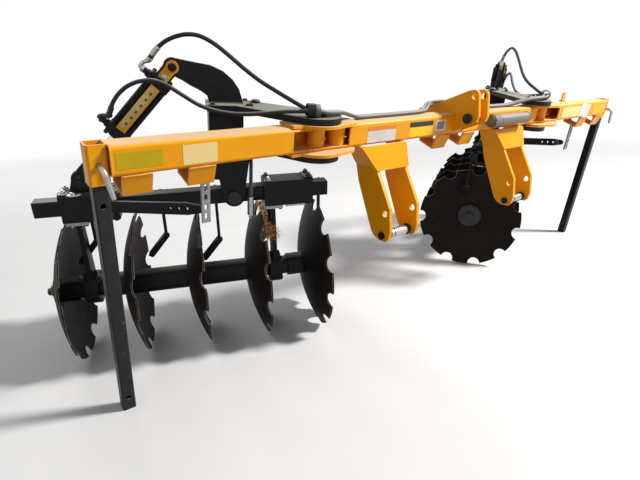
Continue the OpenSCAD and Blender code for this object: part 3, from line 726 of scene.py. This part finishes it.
def in_ring(side, x, k):
    """A point of supply hose k in the ring, in the wing's frame."""
    q = turned((RING[0] + x, RING[1] + IN_RING * (2 * k - 1)), YAW[side])
    return (q[0] - PIN_X[side], q[1], RING_Z)


def supply_half(side, k):
    """Supply hose k from the ring to the middle of the toolbar."""
    x = -PIN_X[side]
    y = 20 * k
    return [in_ring(side, 0.2, k), in_ring(side, 20, k),
            (x + 4, -70 + y, RING_Z - 8), (x + 88, -54 + y, 102), (x + 153, -24 + y, 86),
            (x + 218, 2 + y, 68), (x + 288, 14 + y, 60), (-300, 18 + y, 60), (-200, 32 + y, 60),
            (-140, 60 + y, 64), (-95, 88 + y, 76), (-50, 106 + y, 88 - 7 * k)]


def hose(name, at, points, replaced, material, blend=None):
    """A hose along the points. blend holds a body and the points where the hose holds to the frame and to that
    body; these are not used, and a hose given a blend rides on no body.
    """
    path = smooth_path(points)
    world = [at @ p for p in path]
    p = Piece(name, Matrix.Identity(4), material)
    p.tube(world, HOSE_R / 1000, 16)
    obj = p.done("frame", "hose_rubber", (replaced,), 60, ride=blend is None)
    if blend:
        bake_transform(obj)


for k, which in enumerate(("front", "rear")):
    mirrored = [(-x, y, z) for x, y, z in reversed(supply_half(1, k))]
    hose(which + "_supply_line", BAR, supply_half(-1, k) + mirrored, which + "_supply_hose", DUSTY_RUBBER)
for s in SIDES:
    side = SIDE_NAME[s]
    hose(side + "_upper_line", CARRIER[s], UPPER + ring_end(s, IN_RING), side + "_upper_hose",
         mats["hose_rubber"], blend=(side + "_barrel", UPPER[5], UPPER[0]))
    hose(side + "_lower_line", CARRIER[s], LOWER + ring_end(s, -IN_RING), side + "_lower_hose",
         GREY_TOP_RUBBER, blend=(side + "_barrel", LOWER[7], LOWER[0]))

# Fittings at the cylinders' ports: a nut, an elbow and the crimped sleeve that the hose comes out of.
# The lower sleeve reaches further over its hose.
PORT_X = (-84, -353)
PORT_TOP = 74
SLEEVE = 22
for s in SIDES:
    side = SIDE_NAME[s]
    fit = Piece(side + "_port_fittings", CARRIER[s], mats["zinc"], mats["dark_steel"])
    local = CARRIER[s].inverted() @ CYL[s]
    for px, route in zip(PORT_X, (UPPER, LOWER)):
        foot = local @ Vector((px, 0, PORT_TOP))
        neck = (local.to_3x3() @ Vector((0, 0, 1))).normalized()
        run = (Vector(route[1]) - Vector(route[0])).normalized()
        start = Vector(route[0]) + run * (SLEEVE if route is LOWER else 0)
        fit.mat = 0 if route is UPPER else 1
        fit.lathe([(0, 0), (14, 0), (15.5, 1.5), (15.5, 11), (14, 12.5), (0, 12.5)], 6,
                  upright(foot - neck, neck))
        sleeve = start - run * SLEEVE
        bend = smooth_path([foot + neck * 8, foot + neck * 17, (foot + neck * 24 + sleeve) / 2 + neck * 2,
                            sleeve - run * 6, sleeve], 3)
        fit.tube(bend, 8.2, 16)
        fit.lathe([(0, 0), (12.5, 0), (13.5, 1), (13.5, 12), (12.5, 13), (0, 13)], 6,
                  upright(sleeve - run * 4, run))
        fit.mat = 1
        crimp = [(0, 0), (10, 0), (11.6, 1.5)]
        for i in range(5):
            crimp += [(11.6, 3 + 5 * i), (10.7, 4 + 5 * i), (10.7, 5.6 + 5 * i), (11.6, 6.6 + 5 * i)]
        crimp += [(11.6, 30), (10.2, 33), (HOSE_R + 0.2, 34), (0, 34)]
        fit.lathe(crimp, 20, upright(sleeve + run * 8, run))
        if route is UPPER:
            fit.mat = 0
            over = smooth_path(UPPER[:6], 3)[:16]
            fit.tube(over, [11.2] + [12.4 if k % 3 else 11.6 for k in range(14)] + [9.6], 20)
    fit.done(side + "_barrel", "zinc")

# The clamp ring's own rim and the grey sleeve behind it
for s in SIDES:
    at = CARRIER[s] @ move(SWIVEL[0] + RING[0], SWIVEL[1] + RING[1], drop_of(s) + RING_Z) @ turn(90, "Y")
    c = Piece(sided("ring_sleeves", s), at, mats["black_paint"], SLEEVE_GREY)
    c.ring([(22.6, -26), (26.5, -26), (27.8, -24.5), (27.8, 6), (26.5, 7.5), (22.6, 7.5)], 40)
    c.mat = 1
    c.ring([(22.6, 7.6), (25.6, 7.6), (25.6, 25), (24.8, 27), (22.6, 27)], 40)
    c.done("frame", "black_paint")

# ---- Labels and reflectors on the front face of the toolbar ----


def label(name, x0, x1, z0, z1, bands, lean=0.0, proud=0.8):
    """A thin film on the front face; bands are (share of the height, material) from the bottom."""
    middle = ((x0 + x1) / 2, -HALF_BAR, (z0 + z1) / 2)
    at = BAR @ move(*middle) @ turn(90, "X") @ turn(lean, "Z")
    w, h = (x1 - x0) / 2, (z1 - z0) / 2
    p = Piece(name, at, *(m for _, m in bands))
    low = -h
    for i, (share, _) in enumerate(bands):
        p.mat = i
        high = low + 2 * h * share
        p.box((-w, low, -0.1), (w, high, proud))
        low = high
    p.done("frame", "yellow_paint")


label("near_reflector", -1720, -1570, -27, 27, [(1, OLIVE_REFLECTOR)])
label("near_blank_plate", -1501, -1374, -37, 32, [(1, PALE_LABEL)])
label("white_blank_label", -648, -470, -41, 30, [(0.74, WHITE_LABEL), (0.26, ORANGE_LABEL)])
label("yellow_blank_label", -376, -208, -38, 32, [(0.66, YELLOW_LABEL), (0.34, BLACK_LABEL)])
label("framed_plate", -186, -112, -24, 31, [(1, WHITE_LABEL)])
label("framed_plate_middle", -176, -122, -15, 22, [(1, FRAME_GREY)], proud=1.4)
label("far_blank_plate", 1090, 1330, -35, 32, [(1, PALE_LABEL)])
label("far_white_sticker", 1336, 1470, -45, 45, [(1, WHITE_LABEL)], lean=-8)
label("far_reflector", 1530, 1710, -40, 30, [(1, AMBER_REFLECTOR)])

# ---- Leg pins: one bent rod each, where the CAD has plain pieces ----

PIN_Z = -12
PIN_BEND = 22
PIN_ARM = 76
pins = Piece("locking_pins", BAR, mats["zinc"])
for s in SIDES:
    lean = turn(-12, "Y")
    path = [(0, 6, 0), (0, -12, 0), (0, -30, 0)]
    path += [(0, -30 - PIN_BEND * sind(a), -PIN_BEND * (1 - cosd(a))) for a in range(10, 100, 10)]
    path += [(0, -30 - PIN_BEND, -PIN_BEND - PIN_ARM * k / 5) for k in range(1, 6)]
    start = Vector((s * SOCKET_X, -LEG_HALF, PIN_Z))
    pins.tube([start + (lean @ Vector(q) if q[1] < -30 else Vector(q)) for q in path],
              [7.6] + [8.8] * (len(path) - 2) + [7.4], 18)
pins.done("frame", "zinc", ("leg_pins",), 50, 0.6)

# ---- Cylinders: scale, pointer plate, tie rod nuts, gland and pin ends ----

FILM = (-50.0, -49.2)
INK = (-50.3, -49.9)


def pin_end(piece, x, y, outward, outer, height, bar):
    """The boss round a pin's end, and the pin through it; bar is (y, half its length)."""
    piece.ring([(12.8, 0), (outer, 0), (outer, height - 0.6), (outer - 0.6, height), (12.8, height)], 32,
               upright((x, y, 0), (0, outward, 0)))
    piece.rod((x, bar[0], -bar[1]), (x, bar[0], bar[1]), 1.9, 10, 0.5)


for s in SIDES:
    side = SIDE_NAME[s]
    scale = Piece(side + "_scale", CYL[s], SCALE_LABEL, BLACK_LABEL)
    scale.box((-318, FILM[0], -14), (-112, FILM[1], 19.5))
    scale.mat = 1
    for k in range(19):
        x = -120 - 10.6 * k
        scale.box((x - 0.9, INK[0], -13), (x + 0.9, INK[1], -5 if k % 3 == 0 else -9))
    for k in range(6):
        x = -136 - 31.8 * k
        scale.box((x - 6.2, INK[0], -7), (x - 1.4, INK[1], 4))
        scale.box((x + 0.6, INK[0], -7), (x + 5.6, INK[1], 4))
    scale.mat = 0
    scale.box((-63, -32.0, -19), (-38, -31.2, 19))
    scale.done(side + "_barrel", "yellow_paint")

    fit = Piece(side + "_cylinder_fittings", CYL[s], mats["dark_steel"], mats["zinc"], mats["black_paint"])
    for y in (-TIE_ROD, TIE_ROD):
        for z in (-TIE_ROD, TIE_ROD):
            fit.bolt((-BARREL_END, y, z), (-1, 0, 0), 11, washer=False)
            fit.bolt((-BARREL_HEAD, y, z), (1, 0, 0), 11, washer=False)
    fit.mat = 2
    fit.ring([(18.8, 0), (31, 0), (31, 9), (28, 12), (20.5, 12), (18.8, 10)], 32,
             upright((-BARREL_END + 1, 0, 0), (-1, 0, 0)))
    for x, d in ((-BARREL_HEAD - 38, -1), (-BARREL_END + 38, 1)):
        fit.ring([(42.8, 0), (46.5, 0), (46.0, 3), (43.0, 6)], 40, upright((x, 0, 0), (d, 0, 0)))
    fit.mat = 1
    fit.bolt((-50.5, -32.0, 0), (0, -1, 0), 8)
    fit.mat = 2
    pin_end(fit, 0, -31.3, -1, 17, 3, (-35, 17))
    pin_end(fit, 0, 25.0, 1, 17, 3, (35, 17))
    fit.done(side + "_barrel", "dark_steel")

    eye = Piece(side + "_rod_fittings", CYL[s], mats["zinc"], mats["black_paint"])
    root = -cyl_len(s) + ROD_CLEVIS
    eye.lathe([(18.2, 0), (26, 0), (28, 2), (28, 15), (26, 17), (18.2, 17)], 6,
              upright((root + 3.6, 0, 0), (1, 0, 0)))
    eye.mat = 1
    for d in (-1, 1):
        pin_end(eye, root - ROD_CLEVIS, d * 28.2, d, 20, 2.8, (d * 33, 16))
    eye.done(side + "_rod", "zinc")

# ---- Gangs: plates, studs, nuts, bearing bolts and grease nipples ----


def nipple(piece, p, axis, turned_to):
    """A grease nipple: a small hexagon, a neck and a ball, bent towards turned_to."""
    a = Vector(axis).normalized()
    p = Vector(p)
    piece.lathe([(0, -1), (5.4, -1), (5.4, 4), (4.6, 5), (0, 5)], 6, upright(p, a))
    piece.lathe([(0, -1), (2.6, -1), (2.6, 4), (3.6, 5.4), (3.9, 7), (3.0, 9), (0, 9.8)], 12,
                upright(p + a * 5, a + Vector(turned_to)))


# The clamps' top plates, round their middle, and the zinc plate under the inner clamp
CLAMP_PLATE = [(-19, -46), (19, -46), (22, -40), (22, 40), (19, 46), (-19, 46), (-22, 40), (-22, -40)]
ZINC_PLATE = [(246, -49), (336, -49), (339, -46), (339, 46), (336, 49), (246, 49), (243, 46), (243, -46)]

for s in SIDES:
    side = SIDE_NAME[s]
    g = Piece(side + "_clamp_bolts", GANG[s], mats["zinc"], mats["dark_steel"], mats["black_paint"])
    for c in CLAMP_X:
        for x in (c - CLAMP_HALF, c + CLAMP_HALF):
            outer_clamp = c == CLAMP_X[0]
            plated = outer_clamp or x > c
            g.mat = 2
            if plated:
                g.prism([(x + dx, y) for dx, y in CLAMP_PLATE], 60.9, 67)
            for y in (-30, 30):
                g.mat = 0 if outer_clamp or (y < 0 and x < c) else 1
                g.bolt((x, y, 66.9 if plated else 61), (0, 0, 1), 15, nut=True)
                g.mat = 1
                if plated:
                    g.bolt((x, y, -61), (0, 0, -1), 14)
    g.mat = 0
    g.prism(ZINC_PLATE, -71.5, -60.9)
    g.mat = 1
    for x in HANGER_X:
        for dx in (-34, 34):
            for y in (-36, 36):
                g.bolt((x + dx, y, -77.3), (0, 0, -1), 10)
        for y, z in circle(68, 4, 45):
            for d in (-1, 1):
                g.bolt((x + d * 30, y, -AXLE_DROP + z), (d, 0, 0), 7)
        nipple(g, (x + 18, 0, -AXLE_DROP + 78), (0, 0, 1), (0.4, -0.8, 0))
    for x, (off, _) in zip(DISC_X, SCRAPERS):
        g.bolt((x + off + 2, 76, -2), (0, 1, 0), 9)
    g.done(side + "_gang", "black_paint")

    m = Piece(side + "_clamp_keeper", GANG[s], mats["zinc"])
    m.prism([(-672 + 32 * cosd(a), -34 + 27 * sind(a)) for a in range(175, 366, 10)], 60.9, 66)
    m.bolt((-676, -42, 66), (0, 0, 1), 11)
    m.done(side + "_gang", "zinc", bevel=0.8)

    # The brace bar runs from the angle strap's foot to the outer clamp
    foot = GANG[s].inverted() @ WING[s] @ Vector((-STRAP_FOOT[0], *STRAP_FOOT[1:]))
    run = Vector(BRACE_END) - foot
    sideways = turn(degrees(atan2(run.y, run.x)), "Z")
    upwards = turn(-degrees(atan2(run.z, hypot(run.x, run.y))), "Y")
    b = Piece(side + "_brace_end_bolt", GANG[s] @ move(*foot) @ sideways @ upwards, mats["dark_steel"],
              mats["bare_steel"])
    at = upright((46, -6, 0), (0, -1, 0))
    b.lathe([(0, -1), (10, -1), (11, 1), (11, 5), (8, 8), (0, 9)], 28, at)
    b.mat = 1
    b.ring([(13.5, -0.5), (16.5, -0.5), (16.5, 1.6), (15.8, 2.2), (13.5, 2.2)], 36, at)
    b.done(side + "_gang", "dark_steel")

    # Scraper blades, with a worn lower edge
    b = Piece(side + "_scraper_plates", GANG[s], mats["black_paint"], mats["bare_steel"])
    for disc, (off, low) in zip(DISC_X, SCRAPERS):
        tip = max(-140, -(off - 40) / sind(40))
        at = move(disc + off, 68, low + 6) @ turn(40, "Y") @ turn(90, "X")
        b.mat = 0
        b.prism([(-5, 8), (10, 11), (20, 1), (20, tip + 10), (16, tip), (-5, tip)], 17, 25, at)
        b.mat = 1
        b.prism([(-5.2, tip + 16), (1, tip + 16), (3, tip - 1), (-5.2, tip - 1)], 16.5, 25.5, at)
    b.done(side + "_gang", "black_paint", bevel=0.6)

    b = Piece(side + "_brace_bolts", GANG[s], mats["dark_steel"])
    for x in (-590, -530):
        for z in (-31, 37):
            b.bolt((x, -65.2, z), (0, -1, 0), 9)
    b.done(side + "_gang", "dark_steel")

    h = Piece(side + "_axle_nuts", GANG[s], mats["dark_steel"])
    for x, d in ((DISC_X[0] - 46, -1), (DISC_X[-1] + 8.3 + 36, 1)):
        h.lathe([(0, -1), (17.5, -1), (17.5, 5), (14.5, 9), (5, 9), (3.5, 7.5), (0, 7.5)], 20,
                upright((x, 0, -AXLE_DROP), (d, 0, 0)))
    for y, z in circle(58, 4, 45):
        h.bolt((DISC_X[0] - 16.2, y, -AXLE_DROP + z), (-1, 0, 0), 8)
    h.done(side + "_discs", "dark_steel")

# ---- Carriers and swivels ----


def carrier_top(side):
    return drop_of(side) + LUG_TOP + CARRIER_GAP + CARRIER_PLATE


for s in SIDES:
    c = Piece(sided("swivel_bolts", s), CARRIER[s], mats["black_paint"], mats["zinc"], mats["dark_steel"])
    top = carrier_top(s)
    head = top + 10.4
    for x, y in circle(31, 3, 90):
        c.bolt((SWIVEL[0] + x, SWIVEL[1] + y, head), (0, 0, 1), 7)
    c.lathe([(0, -1), (20, -1), (21, 1), (21, 6), (17, 12), (9, 15), (0, 15.5)], 28,
            upright((102, 20, top), (0, 0, 1)))
    c.mat = 1
    nipple(c, (SWIVEL[0] + 10, SWIVEL[1], head), (0, 0, 1), (-0.6, -0.3, 0))
    c.mat = 2
    for x, y in ((-88, -58), (-88, 58), (62, -62), (62, 62)):
        c.bolt((x, y, top), (0, 0, 1), 12)
    c.bolt((72, -66, top), (0, 0, 1), 11, nut=True)
    c.done("frame", "black_paint")

    t = Piece(sided("stop_rod_threads", s), CARRIER[s], mats["galvanised"])
    for k in range(28):
        t.ring([(7.8, 0), (8.9, 0.7), (7.8, 1.4)], 16, upright((*STOP_ROD, 12 + 2.2 * k), (0, 0, 1)))
    t.done("frame", "zinc")

# ---- Weld beads ----

RIPPLE = 5.0


def bead(piece, a, b, r=3.2):
    """A rippled weld from a to b."""
    a, b = Vector(a), Vector(b)
    n = max(3, int((b - a).length / RIPPLE) * 2)
    pts = [a.lerp(b, k / n) for k in range(n + 1)]
    piece.tube(pts, [r * (1.0 if k % 2 else 0.8) for k in range(n + 1)], 8)


welds = Piece("yellow_welds", BAR, mats["yellow_paint"])
for s in SIDES:
    # Brackets under the toolbar, its end, mast plates, hitch clevises and swivel sleeves
    for x in (108, 1429, 1656):
        for y in (-HALF_BAR, 62):
            bead(welds, (s * x - 48, y, -51.6), (s * x + 48, y, -51.6))
    end = s * BAR_END_X
    bead(welds, (end, -50, 44), (end, -50, -44), 3.6)
    bead(welds, (end, -42, 51), (end, 42, 51), 3.6)
    for x in (MAST_X - 8, MAST_X + 8):
        bead(welds, (s * x, -46, 51.3), (s * x, 48, 51.3), 3.0)
    hitch = s * HITCH_X
    for x in (hitch + HITCH_PLATE - 9, hitch + HITCH_PLATE + 9):
        bead(welds, (x, -58, -51.3), (x, 43, -51.3), 3.0)
    bead(welds, (hitch - HITCH_PLATE - 80, -64, -52.5), (hitch + 94, -64, -52.5), 3.4)
    for y in (-HALF_BAR, HALF_BAR):
        for z in (51.5, -51.5):
            bead(welds, (s * (SLEEVE_X[0] - 150), y, z), (s * SLEEVE_X[0], y, z), 2.6)
welds.done("frame", "yellow_paint", smooth=60)

for s in SIDES:
    welds = Piece(sided("carrier_welds", s), CARRIER[s], mats["black_paint"])
    for y in (-12.5, 12.5):
        bead(welds, (-97, y, carrier_top(s)), (44, y, carrier_top(s)), 4.2)
    welds.done("frame", "black_paint", smooth=60)

# ---- Grease nipples on the swivel sleeves, document tube, clevis pins ----

nipples = Piece("sleeve_nipples", BAR, mats["yellow_paint"])
for s in SIDES:
    for x in SLEEVE_X:
        nipple(nipples, (s * x + 10, -36, -6), (0.2, -1, 0), (0.3, 0, 0.9))
nipples.done("frame", "yellow_paint")

caps = Piece("document_tube_caps", BAR @ move(250, -87, 8) @ turn(90, "Y"), mats["grey_plastic"])
for x, y in circle(35, 36):
    caps.rod((x, y, -16), (x, y, 38), 1.3, 8, 0.4)
caps.ring([(31.2, 0), (34.6, 0), (35.4, 1.5), (35.4, 8), (34.6, 9.5), (31.2, 9.5)], 48, move(0, 0, 44))
caps.ring([(30.8, 0), (33.0, 0), (33.0, 4), (30.8, 4)], 48, move(0, 0, 324))
caps.done("frame", "grey_plastic")

rings = Piece("clevis_pin_rings", BAR, mats["dark_steel"], mats["zinc"])
y, z = HITCH_PIN
for s in SIDES:
    hitch = s * HITCH_X
    for d in (-1, 1):
        rings.ring([(18.4, 0), (27, 0), (27, 5), (26, 6), (18.4, 6)], 32,
                   upright((hitch + d * 62, y, z), (d, 0, 0)))
        rings.rod((hitch + d * 106, y, z - 22), (hitch + d * 106, y, z + 22), 3.0, 12, 0.6)
    rings.ring([(22.1, 0), (23.0, 0.5), (23.0, 5.5), (22.1, 6)], 32, upright((hitch - 34, y, z), (1, 0, 0)))
rings.mat = 1
x, y, z = MAST_PIN
rings.rod((x, y - 24, z), (x, y + 24, z), 2.6, 12, 0.5)
rings.done("frame", "zinc")

# ---- The dry grass caught on the beam ----

# Blades hang from the roots to a waist, and fan out below it
ROOTS = (Vector((98, -56, -24)), Vector((132, -56, -34)))
WAIST = Vector((142, -66, -132))
FAN = (Vector((92, -62, -222)), Vector((157, -70, -243)), Vector((236, -62, -214)))
STRAYS_FROM = ROOTS[0] + Vector((26, -4, -60))
STRAYS_TO = Vector((132, -60, -172))
HANGING, FANNED, STRAYS, ACROSS = 64, 150, 24, 4

rng = random.Random(7)
grass = Piece("caught_grass", GANG[-1], STRAW)


def scatter(low, high):
    return Vector([rng.uniform(low, high) for _ in range(3)])


def strand(a, b, bow, r):
    """One blade from a to b, with its middle moved by bow."""
    grass.tube(smooth_path([a, a.lerp(b, 0.5) + bow, b], 16), r, 5)


for _ in range(HANGING):
    root = ROOTS[0].lerp(ROOTS[1], rng.random()) + scatter(-4, 4)
    waist = WAIST + scatter(-9, 9)
    strand(root, waist, Vector((rng.uniform(-10, 14), rng.uniform(-12, 2), 0)), rng.uniform(0.5, 1.1))
for _ in range(FANNED):
    waist = WAIST + scatter(-8, 8)
    t = rng.triangular(0, 2, 1.35)
    end = FAN[int(t)].lerp(FAN[min(2, int(t) + 1)], t % 1) + scatter(-9, 9)
    end = waist.lerp(end, rng.uniform(0.55, 1.05))
    bow = Vector((rng.uniform(-12, 12), rng.uniform(-10, 4), rng.uniform(-4, 10)))
    strand(waist, end, bow, rng.uniform(0.5, 1.05))
for _ in range(STRAYS):
    root = STRAYS_FROM + scatter(-5, 8)
    end = STRAYS_TO + scatter(-12, 12)
    strand(root, end, Vector((rng.uniform(-10, 10), -8, 0)), rng.uniform(0.5, 1.0))
for _ in range(ACROSS):
    z = rng.uniform(-58, -20)
    strand(Vector((95, -54, z)), Vector((140, -54, z + rng.uniform(-12, 8))), Vector((0, -10, 5)), 1.1)
grass.done("right_gang", "black_paint", smooth=80)

# ---- Stage: pale floor and soft light ----

# The camera sees a pale floor that fades out and a white world; what lights the machine is browner and dimmer
FLOOR_HALF = 30
FLOOR_FADE = (3.2, 9)
PALE_FLOOR = ((0.78, 0.765, 0.75), (0.74, 0.73, 0.715))
GROUND = (0.42, 0.33, 0.25)
SKY = (0.93, 0.96, 1.0, 1)
SKY_STRENGTH = 0.26


def seen(tree):
    """1 for the rays that show something, 0 for those that light it."""
    rays = tree.nodes.new("ShaderNodeLightPath")
    most = rays.outputs["Is Camera Ray"]
    for other in ("Is Glossy Ray", "Is Transmission Ray"):
        node = tree.nodes.new("ShaderNodeMath")
        node.operation = "MAXIMUM"
        tree.links.new(most, node.inputs[0])
        tree.links.new(rays.outputs[other], node.inputs[1])
        most = node.outputs[0]
    return most


def surface(tree, output, amount, a, b):
    """Shader a where the amount is 0, b where it is 1, as the surface of the output node."""
    blend = tree.nodes.new("ShaderNodeMixShader")
    for socket, value in zip(blend.inputs, (amount, a, b)):
        tree.links.new(value, socket)
    tree.links.new(blend.outputs[0], tree.nodes[output].inputs["Surface"])


floor = bpy.data.meshes.new("floor")
floor.from_pydata([(x * FLOOR_HALF, y * FLOOR_HALF, 0) for x, y in ((-1, -1), (1, -1), (1, 1), (-1, 1))], [],
                  [(0, 1, 2, 3)])
m = Shader("floor")
pale = m.mix(m.ramp(m.noise(2, 4), 0.3, 0.7), *PALE_FLOOR)
m.finish(m.mix(seen(m.tree), GROUND, pale), 0.9)
far = m.node("VectorMath")
far.operation = "LENGTH"
m.link(m.where, far.inputs[0])
clear = m.node("BsdfTransparent")
surface(m.tree, "Material Output", m.ramp(far.outputs["Value"], *FLOOR_FADE), m.bsdf.outputs[0],
        clear.outputs[0])
floor.materials.append(m.mat)
add_object("floor", floor)


def area_light(name, place, target, size, power):
    data = bpy.data.lights.new(name, "AREA")
    data.shape = "DISK"
    data.size = size
    data.energy = power
    obj = add_object(name, data)
    aim = (Vector(target) - Vector(place)).to_track_quat("-Z", "Y")
    obj.matrix_world = Matrix.Translation(place) @ aim.to_matrix().to_4x4()


area_light("key", (4.8, -4.5, 6.2), (0, 0, 0.5), size=1.6, power=1150)
area_light("fill", (-5.5, -3.5, 3.5), (0, 0, 0.6), size=4.0, power=25)
area_light("back", (-1.0, 6.5, 4.5), (0, 0, 0.5), size=3.0, power=140)

world = bpy.data.worlds.new("world")
bpy.context.scene.world = world
world.use_nodes = True
lighting = world.node_tree.nodes["Background"]
lighting.inputs["Color"].default_value = SKY
lighting.inputs["Strength"].default_value = SKY_STRENGTH
white = world.node_tree.nodes.new("ShaderNodeBackground")
white.inputs["Color"].default_value = (1, 1, 1, 1)
surface(world.node_tree, "World Output", seen(world.node_tree), lighting.outputs[0], white.outputs[0])

bpy.context.scene.view_settings.view_transform = "Standard"

for obj in nodes.values():
    round_edges(obj, 0.0014)
